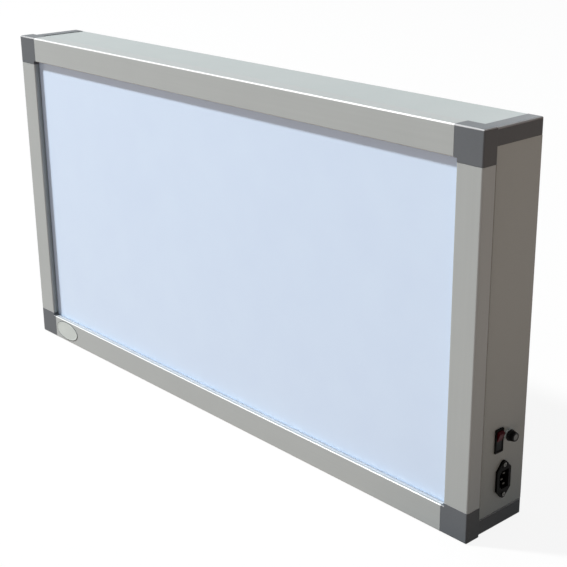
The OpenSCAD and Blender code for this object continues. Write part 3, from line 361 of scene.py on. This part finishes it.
def painted_edge_highlight(tree, tint, base, wear):
    """Lightens a tint on the round edges that face up: a painted highlight where the key lamp would glint."""
    normal = node(tree, "ShaderNodeNewGeometry").outputs["Normal"]
    upward = node(tree, "ShaderNodeSeparateXYZ", {0: normal}).outputs["Z"]
    off_wall = node(tree, "ShaderNodeMapRange", {"Value": upward, "From Min": WALL_BEGIN, "From Max": WALL_FULL})
    off_top = node(tree, "ShaderNodeMapRange", {"Value": upward, "From Min": TOP_BEGIN, "From Max": TOP_FULL})
    # The painted highlight's share: full on round edges between an upright wall and a top.
    highlight_share = node(tree, "ShaderNodeMath", {0: off_wall.outputs[0], 1: off_top.outputs[0]}, operation="MULTIPLY")
    pale = [min(1, c + wear * (1 - c)) for c in base] + [1]
    return node(
        tree, "ShaderNodeMix", {"Factor": highlight_share.outputs[0], "A": tint, "B": pale}, data_type="RGBA"
    ).outputs["Result"]


# Shapes

# Points nearer to each other than this are one point.
JOINED = 1e-6
# A solid's edges are rounded, in a few steps, where they bend by more than the first angle. Those of a piece that is
# made here look sharp where they bend by more than the second.
ROUNDED_ABOVE, SHARP_ABOVE = math.radians(40), math.radians(35)
ROUNDING_STEPS = 3
# Faces that meet at less than this angle are one flat face.
FLAT_BELOW = math.radians(0.5)


def dress(names, finish_name, edge=0.0):
    """Gives solids their finish, and rounds their sharp edges by edge."""
    for name in names:
        solid = NODES[name]
        solid.data.materials.clear()
        solid.data.materials.append(finish(finish_name))
        if edge:
            soften(solid, edge)


def soften(obj, edge):
    """Rounds the sharp edges of a solid, once the seams of its skin are joined."""
    obj.modifiers.new("joined", "WELD").merge_threshold = JOINED
    rounding = obj.modifiers.new("edges", "BEVEL")
    rounding.width = edge
    rounding.segments = ROUNDING_STEPS
    rounding.limit_method = "ANGLE"
    rounding.angle_limit = ROUNDED_ABOVE
    rounding.use_clamp_overlap = False
    shade_evenly(obj)


def shade_evenly(obj, keep_sharp=False):
    """Keeps flat faces flat next to round edges."""
    shading = obj.modifiers.new("shading", "WEIGHTED_NORMAL")
    shading.weight = 100
    shading.keep_sharp = keep_sharp


# Axes of a piece that sits on the right side, the front or the back: u, v, and w out of the face.
SIDE = Matrix(((0, 0, 1), (1, 0, 0), (0, 1, 0)))
FRONT = Matrix(((1, 0, 0), (0, 0, -1), (0, 1, 0)))
BACK = Matrix(((-1, 0, 0), (0, 0, 1), (0, 1, 0)))


def skin(bm, loops, origin, facing, bands=None):
    """Closes a skin over loops of (u, v, w) points.

    bands gives the material slot of the faces after a loop, by the loop's number.
    """
    rows = [[bm.verts.new(origin + facing @ Vector(p)) for p in loop] for loop in loops]
    for i, (low, high) in enumerate(zip(rows, rows[1:])):
        for k in range(len(low)):
            m = (k + 1) % len(low)
            face = bm.faces.new((low[k], low[m], high[m], high[k]))
            face.material_index = (bands or {}).get(i, 0)
    bm.faces.new(list(reversed(rows[0])))
    bm.faces.new(rows[-1])


def oval(w, h, height, count=96):
    """A loop round an oval of a width and a height."""
    turns = [2 * math.pi * k / count for k in range(count)]
    return [(w / 2 * math.cos(a), h / 2 * math.sin(a), height) for a in turns]


def make(name, bm, finishes, body, replaced):
    """Turns a mesh that was built into a piece on a body, in place of a solid."""
    bmesh.ops.recalc_face_normals(bm, faces=bm.faces)
    mesh = bpy.data.meshes.new(name)
    bm.to_mesh(mesh)
    bm.free()
    for polygon in mesh.polygons:
        polygon.use_smooth = True
    mesh.set_sharp_from_angle(angle=SHARP_ABOVE)
    piece = bpy.data.objects.new(name, mesh)
    bpy.context.scene.collection.objects.link(piece)
    for finish_name in finishes:
        mesh.materials.append(finish(finish_name))
    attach(piece, body)
    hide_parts(replaced)
    return piece


def islands(mesh):
    """The boxes of the separate solids in a mesh, from the lowest corner of each to its highest."""
    bm = bmesh.new()
    bm.from_mesh(mesh)
    bmesh.ops.remove_doubles(bm, verts=bm.verts, dist=JOINED)
    left, boxes = set(bm.verts), []
    while left:
        grown, edge = set(), [left.pop()]
        while edge:
            vert = edge.pop()
            grown.add(vert)
            for link in vert.link_edges:
                other = link.other_vert(vert)
                if other in left:
                    left.remove(other)
                    edge.append(other)
        spans = [[v.co[i] for v in grown] for i in range(3)]
        boxes.append((Vector([min(s) for s in spans]), Vector([max(s) for s in spans])))
    bm.free()
    return sorted(boxes, key=lambda box: [round(c, 5) for c in box[0]])


# Stage

SENSOR_WIDTH = 36
# The way to the key lamp, how far off it hangs and how wide it is, in metres.
KEY_TOWARDS = Vector((-0.56, -0.43, 0.71)).normalized()
KEY_REACH, KEY_SIZE = 12, 1.1
# The way to each wide lamp and its colour, and how wide they are.
WIDE_LAMPS = {"front": ((-0.15, -1, 0.15), "#e3eeff"), "back": ((-0.25, 1, -0.02), "#ffffff")}
WIDE_LAMP_SPREAD = math.radians(50)
# In metres: half of the floor's width, how far it lies under the object, the place at the foot of the object's right
# side where it gives the least light, and how far from there that light begins to rise and is full.
FLOOR_HALF, FLOOR_GAP = 15, 0.5 * MM
FLOOR_FOOT = (CAD_BOX[1].x + 0.08, 0.05, 0)
FLOOR_DARK, FLOOR_FULL = 0.08, 0.3
# In front of the object the floor's light is full from this far on.
FLOOR_AHEAD = 0.08
# How much of the floor is plain white as it is seen. The rest takes the shadow.
FLOOR_WHITE = 0.9
# How far to the right a direction points where the room begins to dim and where it is dimmest.
ROOM_BEGIN, ROOM_DIM = 0.0, 0.8


def set_camera(scene, stage):
    """A camera with the photograph's place, direction and field of view."""
    a, e = stage.azimuth, stage.elevation
    ahead = Vector((-math.sin(a) * math.cos(e), math.cos(a) * math.cos(e), -math.sin(e)))
    level = ahead.cross(Vector((0, 0, 1))).normalized()
    right = Matrix.Rotation(-stage.roll, 3, ahead) @ level
    up = right.cross(ahead)
    camera = bpy.data.objects.new("camera", bpy.data.cameras.new("camera"))
    camera.data.lens = stage.lens
    camera.data.sensor_width = SENSOR_WIDTH
    camera.data.sensor_fit = "HORIZONTAL"
    camera.matrix_world = Matrix.Translation(stage.place) @ Matrix((right, up, -ahead)).transposed().to_4x4()
    scene.collection.objects.link(camera)
    scene.camera = camera


def seen(tree):
    """A socket that is 1 for what the camera sees, also in a mirror or through glass, and 0 for light on its way."""
    rays = node(tree, "ShaderNodeLightPath").outputs
    found = rays["Is Camera Ray"]
    for other in ("Is Glossy Ray", "Is Transmission Ray"):
        found = node(tree, "ShaderNodeMath", {0: found, 1: rays[other]}, operation="MAXIMUM").outputs[0]
    return found


def lay_floor(scene, stage):
    """A wide pale floor, nearly white as it is seen, that keeps a faint shadow and lights the object from below."""
    bm = bmesh.new()
    bmesh.ops.create_grid(bm, x_segments=8, y_segments=8, size=FLOOR_HALF)
    mesh = bpy.data.meshes.new("floor")
    bm.to_mesh(mesh)
    bm.free()
    floor = bpy.data.objects.new("floor", mesh)
    floor.location.z = CAD_BOX[0].z - FLOOR_GAP
    scene.collection.objects.link(floor)
    paint = bpy.data.materials.new("matt_studio_paint")
    paint.use_nodes = True
    tree = paint.node_tree
    tree.nodes.remove(tree.nodes["Principled BSDF"])
    looked_at = seen(tree)
    place = node(tree, "ShaderNodeTexCoord").outputs["Object"]
    away = node(tree, "ShaderNodeVectorMath", {0: place, 1: FLOOR_FOOT}, operation="DISTANCE").outputs["Value"]
    clear = node(tree, "ShaderNodeMapRange", {"Value": away, "From Min": FLOOR_DARK, "From Max": FLOOR_FULL})
    along = node(tree, "ShaderNodeSeparateXYZ", {0: place}).outputs["Y"]
    front = CAD_BOX[0].y
    ahead = node(tree, "ShaderNodeMapRange", {"Value": along, "From Min": front, "From Max": front - FLOOR_AHEAD})
    share = node(tree, "ShaderNodeMath", {0: clear.outputs[0], 1: ahead.outputs[0]}, operation="MAXIMUM")
    glow = node(
        tree, "ShaderNodeMix", {"Factor": share.outputs[0], "A": stage.shade[:], "B": stage.bounce[:]}, data_type="RGBA"
    )
    given = node(tree, "ShaderNodeEmission", {"Color": glow.outputs["Result"], "Strength": 1.0})
    matt = node(tree, "ShaderNodeBsdfDiffuse", {"Color": stage.floor[:]})
    white = node(tree, "ShaderNodeEmission", {"Color": (1, 1, 1, 1), "Strength": 1.0})
    shown = node(tree, "ShaderNodeMixShader", {0: FLOOR_WHITE, 1: matt.outputs[0], 2: white.outputs[0]})
    both = node(tree, "ShaderNodeMixShader", {0: looked_at, 1: given.outputs[0], 2: shown.outputs[0]})
    tree.links.new(both.outputs[0], tree.nodes["Material Output"].inputs["Surface"])
    mesh.materials.append(paint)


def hang_key(scene, stage):
    """A lamp at the upper left in front, far enough off for an even light on the screen."""
    lamp = bpy.data.lights.new("key", "AREA")
    lamp.shape = "DISK"
    lamp.size = KEY_SIZE
    lamp.energy = stage.key
    hung = bpy.data.objects.new("key", lamp)
    hung.location = (CAD_BOX[0] + CAD_BOX[1]) / 2 + KEY_TOWARDS * KEY_REACH
    hung.rotation_euler = (-KEY_TOWARDS).to_track_quat("-Z", "Y").to_euler()
    scene.collection.objects.link(hung)


def hang_wide_lamp(scene, name, strength):
    """A wide even lamp, far off."""
    towards, tone = WIDE_LAMPS[name]
    lamp = bpy.data.lights.new(name, "SUN")
    lamp.energy = strength
    lamp.color = linear(tone)[:3]
    lamp.angle = WIDE_LAMP_SPREAD
    hung = bpy.data.objects.new(name, lamp)
    hung.rotation_euler = (-Vector(towards)).to_track_quat("-Z", "Y").to_euler()
    scene.collection.objects.link(hung)


def light_room(scene, stage):
    """An even cool light from all round, dimmer from the right, in a room that looks white."""
    world = bpy.data.worlds.new("studio")
    scene.world = world
    world.use_nodes = True
    tree = world.node_tree
    tree.nodes.remove(tree.nodes["Background"])
    way = node(tree, "ShaderNodeSeparateXYZ", {0: node(tree, "ShaderNodeTexCoord").outputs["Generated"]})
    right = node(tree, "ShaderNodeMapRange", {"Value": way.outputs["X"], "From Min": ROOM_BEGIN, "From Max": ROOM_DIM})
    tone = node(
        tree, "ShaderNodeMix", {"Factor": right.outputs[0], "A": stage.sky[:], "B": stage.wall[:]}, data_type="RGBA"
    )
    fill = node(tree, "ShaderNodeBackground", {"Color": tone.outputs["Result"], "Strength": 1.0})
    white = node(tree, "ShaderNodeBackground", {"Color": (1, 1, 1, 1), "Strength": 1.0})
    both = node(tree, "ShaderNodeMixShader", {0: seen(tree), 1: fill.outputs[0], 2: white.outputs[0]})
    tree.links.new(both.outputs[0], tree.nodes["World Output"].inputs["Surface"])


class VIEWER_OT_stage(bpy.types.Operator):
    """Puts up the camera, the floor and the light"""

    bl_idname = "viewer.stage"
    bl_label = "Stage"

    def execute(self, context):
        scene, stage = context.scene, context.scene.viewer_stage
        scene.view_settings.view_transform = "Standard"
        set_camera(scene, stage)
        lay_floor(scene, stage)
        hang_key(scene, stage)
        hang_wide_lamp(scene, "front", stage.front)
        hang_wide_lamp(scene, "back", stage.back)
        light_room(scene, stage)
        return {"FINISHED"}


# Pieces


class VIEWER_OT_bars(bpy.types.Operator):
    """Makes the four bars of the frame, with a round edge at the window"""

    bl_idname = "viewer.bars"
    bl_label = "Frame bars"

    def execute(self, context):
        self.bar("top", 2, 0, "anodised_aluminium_across")
        self.bar("bottom", 2, 1, "anodised_aluminium_across")
        self.bar("left", 0, 1, "anodised_aluminium_upright")
        self.bar("right", 0, 0, "anodised_aluminium_upright")
        self.painted_seam_shade(finish("anodised_aluminium_upright").node_tree)
        return {"FINISHED"}

    def painted_seam_shade(self, tree):
        """Painted shade darkens the rear edge of the upright bars, in the crevice where the case's side panels go into
        them.
        """
        rear, reach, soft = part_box("bezel_bar_right")[1].y, details().seam, 0.3
        shader = tree.nodes["Principled BSDF"]
        unshaded = shader.inputs["Base Color"].links[0].from_socket
        place = node(tree, "ShaderNodeTexCoord").outputs["Object"]
        depth = node(tree, "ShaderNodeSeparateXYZ", {0: place}).outputs["Y"]
        share = node(
            tree, "ShaderNodeMapRange",
            {"Value": depth, "From Min": rear - (1 + soft) * reach, "From Max": rear - (1 - soft) * reach},
        )
        both = node(
            tree, "ShaderNodeMix", {"Factor": share.outputs[0], "A": unshaded, "B": colours().dust[:]}, data_type="RGBA"
        )
        tree.links.new(both.outputs["Result"], shader.inputs["Base Color"])

    def bar(self, side, axis, end, finish_name):
        """A copy of a bar's solid with a round edge at the window, on the low (0) or high (1) side along an axis."""
        solid = f"bezel_bar_{side}"
        box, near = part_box(solid), 0.01 * MM
        bm = bmesh.new()
        bm.from_mesh(NODES[solid].data)
        bmesh.ops.remove_doubles(bm, verts=bm.verts, dist=JOINED)
        bmesh.ops.dissolve_limit(bm, angle_limit=FLAT_BELOW, verts=bm.verts, edges=bm.edges)
        front, window = box[0].y, box[end][axis]
        at_window = {v for v in bm.verts if abs(v.co.y - front) < near and abs(v.co[axis] - window) < near}
        edges = [e for e in bm.edges if at_window.issuperset(e.verts)]
        if not edges:
            raise RuntimeError(f"{solid} has no edge between its face and the window")
        bmesh.ops.bevel(bm, geom=edges, offset=details().bar_edge, segments=5, profile=0.5, affect="EDGES")
        shade_evenly(make(f"{side}_bar", bm, (finish_name,), "case", solid), True)


class VIEWER_OT_corners(bpy.types.Operator):
    """Finishes the four corner mouldings"""

    bl_idname = "viewer.corners"
    bl_label = "Corners"

    def execute(self, context):
        names = [f"corner_{v}_{h}" for v in ("top", "bottom") for h in ("left", "right")]
        dress(names, "moulded_abs_grey", details().corner_edge)
        return {"FINISHED"}


class VIEWER_OT_case(bpy.types.Operator):
    """Finishes the case's panels and its rubber feet"""

    bl_idname = "viewer.case"
    bl_label = "Case"

    def execute(self, context):
        dress(("top_panel", "bottom_panel", "left_panel", "right_panel", "back_panel"), "powder_coated_steel")
        dress(("rear_feet",), "moulded_rubber", details().small_edge)
        return {"FINISHED"}


class VIEWER_OT_screen(bpy.types.Operator):
    """Finishes the opal screen and its foam strip"""

    bl_idname = "viewer.screen"
    bl_label = "Screen"

    def execute(self, context):
        dress(("diffuser_panel",), "cast_opal_acrylic")
        dress(("diffuser_gasket",), "cellular_foam")
        return {"FINISHED"}


class VIEWER_OT_film_grip(bpy.types.Operator):
    """Finishes the ramp, the stops and the rollers that hold a film"""

    bl_idname = "viewer.film_grip"
    bl_label = "Film grip"

    def execute(self, context):
        dress(("film_ramp", "roller_stops"), "moulded_abs_smooth", details().small_edge)
        dress([f"film_roller_{i}" for i in range(1, 7)], "zinc_plated_steel", details().small_edge)
        return {"FINISHED"}


class VIEWER_OT_badge(bpy.types.Operator):
    """Makes the blank oval badge: a dark line at its edge, a bead inside it and a slightly domed face"""

    bl_idname = "viewer.badge"
    bl_label = "Badge"

    def execute(self, context):
        low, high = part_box("badge_plate")
        w, h, t = high.x - low.x, high.z - low.z, high.y - low.y
        line, bead = details().badge_line, details().badge_bead
        origin = Vector(((low.x + high.x) / 2, high.y, (low.z + high.z) / 2))
        # steps inward from the edge, with the height of the skin there as a share of the badge's thickness
        steps = [(0, 0), (0, 0.4), (0.1 * line, 0.6), (0.9 * line, 0.6), (line, 0.7), (line + 0.15 * bead, 0.9),
                 (line + 0.4 * bead, 1), (line + 0.7 * bead, 0.97), (line + bead, 0.72)]
        loops = [oval(w - 2 * s, h - 2 * s, share * t) for s, share in steps]
        inner, foot, dome, rings = line + bead, 0.72, 0.23, 8
        for k in range(1, rings):
            shrink = 1 - k / rings
            rise = (foot + dome * (1 - shrink**2)) * t
            loops.append(oval((w - 2 * inner) * shrink, (h - 2 * inner) * shrink, rise))
        bm = bmesh.new()
        skin(bm, loops, origin, FRONT, {0: 1, 1: 1, 2: 1})
        make("badge", bm, ("brushed_foil", "lacquered_line"), "case", "badge_plate")
        return {"FINISHED"}


class VIEWER_OT_inlet(bpy.types.Operator):
    """Finishes the mains inlet, its pins and nuts"""

    bl_idname = "viewer.inlet"
    bl_label = "Mains inlet"

    def execute(self, context):
        dress(("inlet_housing",), "moulded_nylon_black", details().small_edge)
        dress(("inlet_pins",), "nickel_plated_brass", details().small_edge)
        dress(("inlet_nuts",), "zinc_plated_steel")
        return {"FINISHED"}


class VIEWER_OT_switch(bpy.types.Operator):
    """Finishes the switch and its two-coloured rocker"""

    bl_idname = "viewer.switch"
    bl_label = "Switch"

    def execute(self, context):
        dress(("switch_housing",), "moulded_nylon_black", details().small_edge)
        dress(("switch_rocker",), "two_shot_polycarbonate", details().small_edge)
        dress(("switch_terminals",), "nickel_plated_brass")
        self.second_shot(finish("two_shot_polycarbonate").node_tree)
        return {"FINISHED"}

    def second_shot(self, tree):
        """The rocker's lower half is black: it begins at the pivot, across the rocker's own tilted length."""
        press = next(joint for joint in frame["joints"] if joint["name"] == "rocker_press")
        tilt = math.radians(-sum(press["range_deg"]) / 2)
        along = Vector((math.sin(tilt), 0, math.cos(tilt)))
        pivot = along.dot(Vector(press["pos_m"]))
        shader = tree.nodes["Principled BSDF"]
        lens = shader.inputs["Base Color"].links[0].from_socket
        place = node(tree, "ShaderNodeTexCoord").outputs["Object"]
        height = node(tree, "ShaderNodeVectorMath", {0: place, 1: along}, operation="DOT_PRODUCT")
        soft = 0.1 * MM
        step = node(
            tree, "ShaderNodeMapRange",
            {"Value": height.outputs["Value"], "From Min": pivot - soft, "From Max": pivot + soft},
        )
        black = colours().black[:]
        both = node(tree, "ShaderNodeMix", {"Factor": step.outputs[0], "A": black, "B": lens}, data_type="RGBA")
        tree.links.new(both.outputs["Result"], shader.inputs["Base Color"])


class VIEWER_OT_dimmer(bpy.types.Operator):
    """Makes the fluted knob and its cap, and finishes the rest of the dimmer"""

    bl_idname = "viewer.dimmer"
    bl_label = "Dimmer"
    flutes = 18
    segments = 8

    def execute(self, context):
        dress(("potentiometer", "dimmer_washer", "dimmer_nut"), "zinc_plated_steel")
        dress(("dimmer_shaft",), "turned_aluminium")
        self.knob()
        self.cap()
        return {"FINISHED"}

    def ring(self, radius, height, depth=0.0):
        """A loop round the knob's axis, with flutes of a depth."""
        count = self.flutes * self.segments
        points = []
        for k in range(count):
            a = 2 * math.pi * k / count
            hollow = (0.5 + 0.5 * math.cos(self.flutes * a)) ** 3
            r = radius - depth * hollow
            points.append((r * math.cos(a), r * math.sin(a), height))
        return points

    def knob(self):
        """A skirt, a tapered grip with flutes, the shaft's bore behind and the cap's seat in front."""
        low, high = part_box("dimmer_knob")
        shaft_low, shaft_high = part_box("dimmer_shaft")
        cap_low, cap_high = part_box("knob_cap")
        origin = Vector((low.x, (low.y + high.y) / 2, (low.z + high.z) / 2))
        reach, skirt = high.x - low.x, (high.z - low.z) / 2
        depth = details().flute_depth
        base, tip, play = skirt - 0.4 * MM, skirt - 1.8 * MM, 0.05 * MM
        bore = (shaft_high.z - shaft_low.z) / 2 + play
        seat = (cap_high.z - cap_low.z) / 2 + play
        bore_end, seat_start = shaft_high.x - low.x + play, cap_low.x - low.x
        loops = [
            self.ring(0.4 * bore, bore_end),
            self.ring(bore, bore_end),
            self.ring(bore, 0),
            self.ring(skirt - 0.3 * MM, 0),
            self.ring(skirt, 0.3 * MM),
            self.ring(skirt, 1.3 * MM),
            self.ring(skirt - 0.2 * MM, 1.65 * MM),
        ]
        grip_start, grip_end, steps = 1.8 * MM, reach - 0.9 * MM, 6
        for k in range(steps + 1):
            rise = grip_start + k / steps * (grip_end - grip_start)
            loops.append(self.ring(base + (tip - base) * rise / reach, rise, depth * min(1, 4 * k / steps)))
        loops += [
            self.ring(tip - 0.1 * MM, reach - 0.45 * MM, 0.6 * depth),
            self.ring(tip - 0.45 * MM, reach, 0.2 * depth),
            self.ring(seat + 0.15 * MM, reach),
            self.ring(seat, reach - 0.15 * MM),
            self.ring(seat, seat_start),
            self.ring(0.4 * seat, seat_start),
        ]
        bm = bmesh.new()
        skin(bm, loops, origin, SIDE)
        make("fluted_knob", bm, ("moulded_abs_black",), "dimmer", "dimmer_knob")

    def cap(self):
        """A dished disc with the fine steps of a spun part."""
        low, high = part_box("knob_cap")
        r, t = (high.z - low.z) / 2, high.x - low.x
        rim, dish, ridge, rings = 0.86, 0.72, 0.05, 10
        rows = ((0.3, 0), (1, 0), (1, 0.8), (0.95, 1), (rim, 1))
        loops = [self.ring(share * r, rise * t) for share, rise in rows]
        for k in range(1, rings):
            loops.append(self.ring(rim * (1 - k / rings) * r, t * (dish + ridge * (k % 2))))
        bm = bmesh.new()
        skin(bm, loops, Vector((low.x, (low.y + high.y) / 2, (low.z + high.z) / 2)), SIDE)
        make("knob_inset", bm, ("dark_anodised_aluminium",), "dimmer", "knob_cap")


class VIEWER_OT_screws(bpy.types.Operator):
    """Makes the pan-head screws with crosses of the back panel and the inlet"""

    bl_idname = "viewer.screws"
    bl_label = "Screws"
    turns = [2 * math.pi * k / 40 for k in range(40)]
    # As shares of the head's radius: the shank's radius, the head's height and the reach of the cross.
    shank_share, head_share, cross_share = 0.53, 0.571, 0.62
    # How deep the cross is, as a share of the head's height.
    cross_depth = 0.55
    dome_rings = 12

    def execute(self, context):
        self.group("back_panel_screws", "back_screws", BACK, "zinc_plated_steel")
        self.group("inlet_screws", "inlet_screw_pair", SIDE, "burnished_steel")
        dress(("tray_screws", "led_bar_screws", "driver_screws"), "zinc_plated_steel")
        return {"FINISHED"}

    def group(self, name, piece, facing, finish_name):
        """All the screws of a solid's group, each in the box of its own solid."""
        bm = bmesh.new()
        for low, high in islands(NODES[name].data):
            self.screw(bm, low, high, facing)
        make(piece, bm, (finish_name,), "case", name)

    def screw(self, bm, low, high, facing):
        """A screw in a box, whose domed head is the wide end and has a cross sunk in it."""
        across, up, out = (facing @ Vector(axis) for axis in ((1, 0, 0), (0, 1, 0), (0, 0, 1)))
        span = high - low
        reach = abs(span.dot(out))
        head_r = max(abs(span.dot(across)), abs(span.dot(up))) / 2
        shank_r, head = head_r * self.shank_share, head_r * self.head_share
        start = reach - head
        rows = [(0.5 * shank_r, 0), (shank_r * 0.85, 0), (shank_r, 0.3 * MM), (shank_r, start), (head_r * 0.96, start),
                (head_r, start + 0.12 * head)]
        loops = [[(r * math.cos(a), r * math.sin(a), w) for a in self.turns] for r, w in rows]
        arm = details().cross_arm
        for k in range(self.dome_rings + 1):
            r = head_r * (0.97 - 0.94 * k / self.dome_rings)
            dome = head * (0.35 + 0.65 * math.sqrt(max(0, 1 - (r / head_r) ** 2)))
            ends = max(0, min(1, (self.cross_share * head_r - r) / (0.1 * head_r)))
            loop = []
            for a in self.turns:
                u, v = r * math.cos(a), r * math.sin(a)
                walls = max(0, min(1, (arm / 2 - min(abs(u), abs(v))) / (0.25 * arm) + 0.5))
                loop.append((u, v, start + dome - self.cross_depth * head * walls * ends))
            loops.append(loop)
        skin(bm, loops, (low + high) / 2 - out * (reach / 2), facing)


class VIEWER_OT_lamps(bpy.types.Operator):
    """Finishes the tray, the LED bars and their chips"""

    bl_idname = "viewer.lamps"
    bl_label = "Lamps"

    def execute(self, context):
        dress(("reflector_tray",), "white_enamel")
        dress([f"led_bar_{i}" for i in range(1, 6)], "white_solder_mask")
        dress(("led_chips",), "silicone_phosphor")
        return {"FINISHED"}


class VIEWER_OT_driver(bpy.types.Operator):
    """Finishes the driver and the earth stud"""

    bl_idname = "viewer.driver"
    bl_label = "Driver"

    def execute(self, context):
        dress(("driver_case",), "galvanised_sheet")
        dress(("driver_board",), "green_solder_mask")
        dress(("earth_stud",), "turned_brass")
        return {"FINISHED"}


class VIEWER_OT_wires(bpy.types.Operator):
    """Finishes the wires"""

    bl_idname = "viewer.wires"
    bl_label = "Wires"

    def execute(self, context):
        dress(("live_wire", "switched_wire"), "pvc_brown")
        dress(("neutral_wire",), "pvc_blue")
        dress(("earth_wire",), "pvc_green_yellow")
        dress(("dimmer_wire", "led_wire"), "pvc_black")
        return {"FINISHED"}


STEPS = (
    VIEWER_OT_stage,
    VIEWER_OT_bars,
    VIEWER_OT_corners,
    VIEWER_OT_case,
    VIEWER_OT_screen,
    VIEWER_OT_film_grip,
    VIEWER_OT_badge,
    VIEWER_OT_inlet,
    VIEWER_OT_switch,
    VIEWER_OT_dimmer,
    VIEWER_OT_screws,
    VIEWER_OT_lamps,
    VIEWER_OT_driver,
    VIEWER_OT_wires,
)


class VIEWER_PT_steps(bpy.types.Panel):
    """Lists the steps of the build"""

    bl_idname = "VIEWER_PT_steps"
    bl_label = "X-ray film viewer"
    bl_space_type = "VIEW_3D"
    bl_region_type = "UI"
    bl_category = "Film Viewer"

    def draw(self, context):
        for step in STEPS:
            self.layout.operator(step.bl_idname)


GROUPS = {"viewer_colours": ViewerColours, "viewer_details": ViewerDetails, "viewer_stage": ViewerStage}


def register():
    for cls in (*GROUPS.values(), *STEPS, VIEWER_PT_steps):
        bpy.utils.register_class(cls)
    for name, group in GROUPS.items():
        setattr(bpy.types.Scene, name, bpy.props.PointerProperty(type=group))


def unregister():
    for name in GROUPS:
        delattr(bpy.types.Scene, name)
    for cls in (VIEWER_PT_steps, *reversed(STEPS), *GROUPS.values()):
        bpy.utils.unregister_class(cls)


def main():
    register()
    for step in STEPS:
        group, name = step.bl_idname.split(".")
        getattr(getattr(bpy.ops, group), name)()


if __name__ == "__main__":
    main()
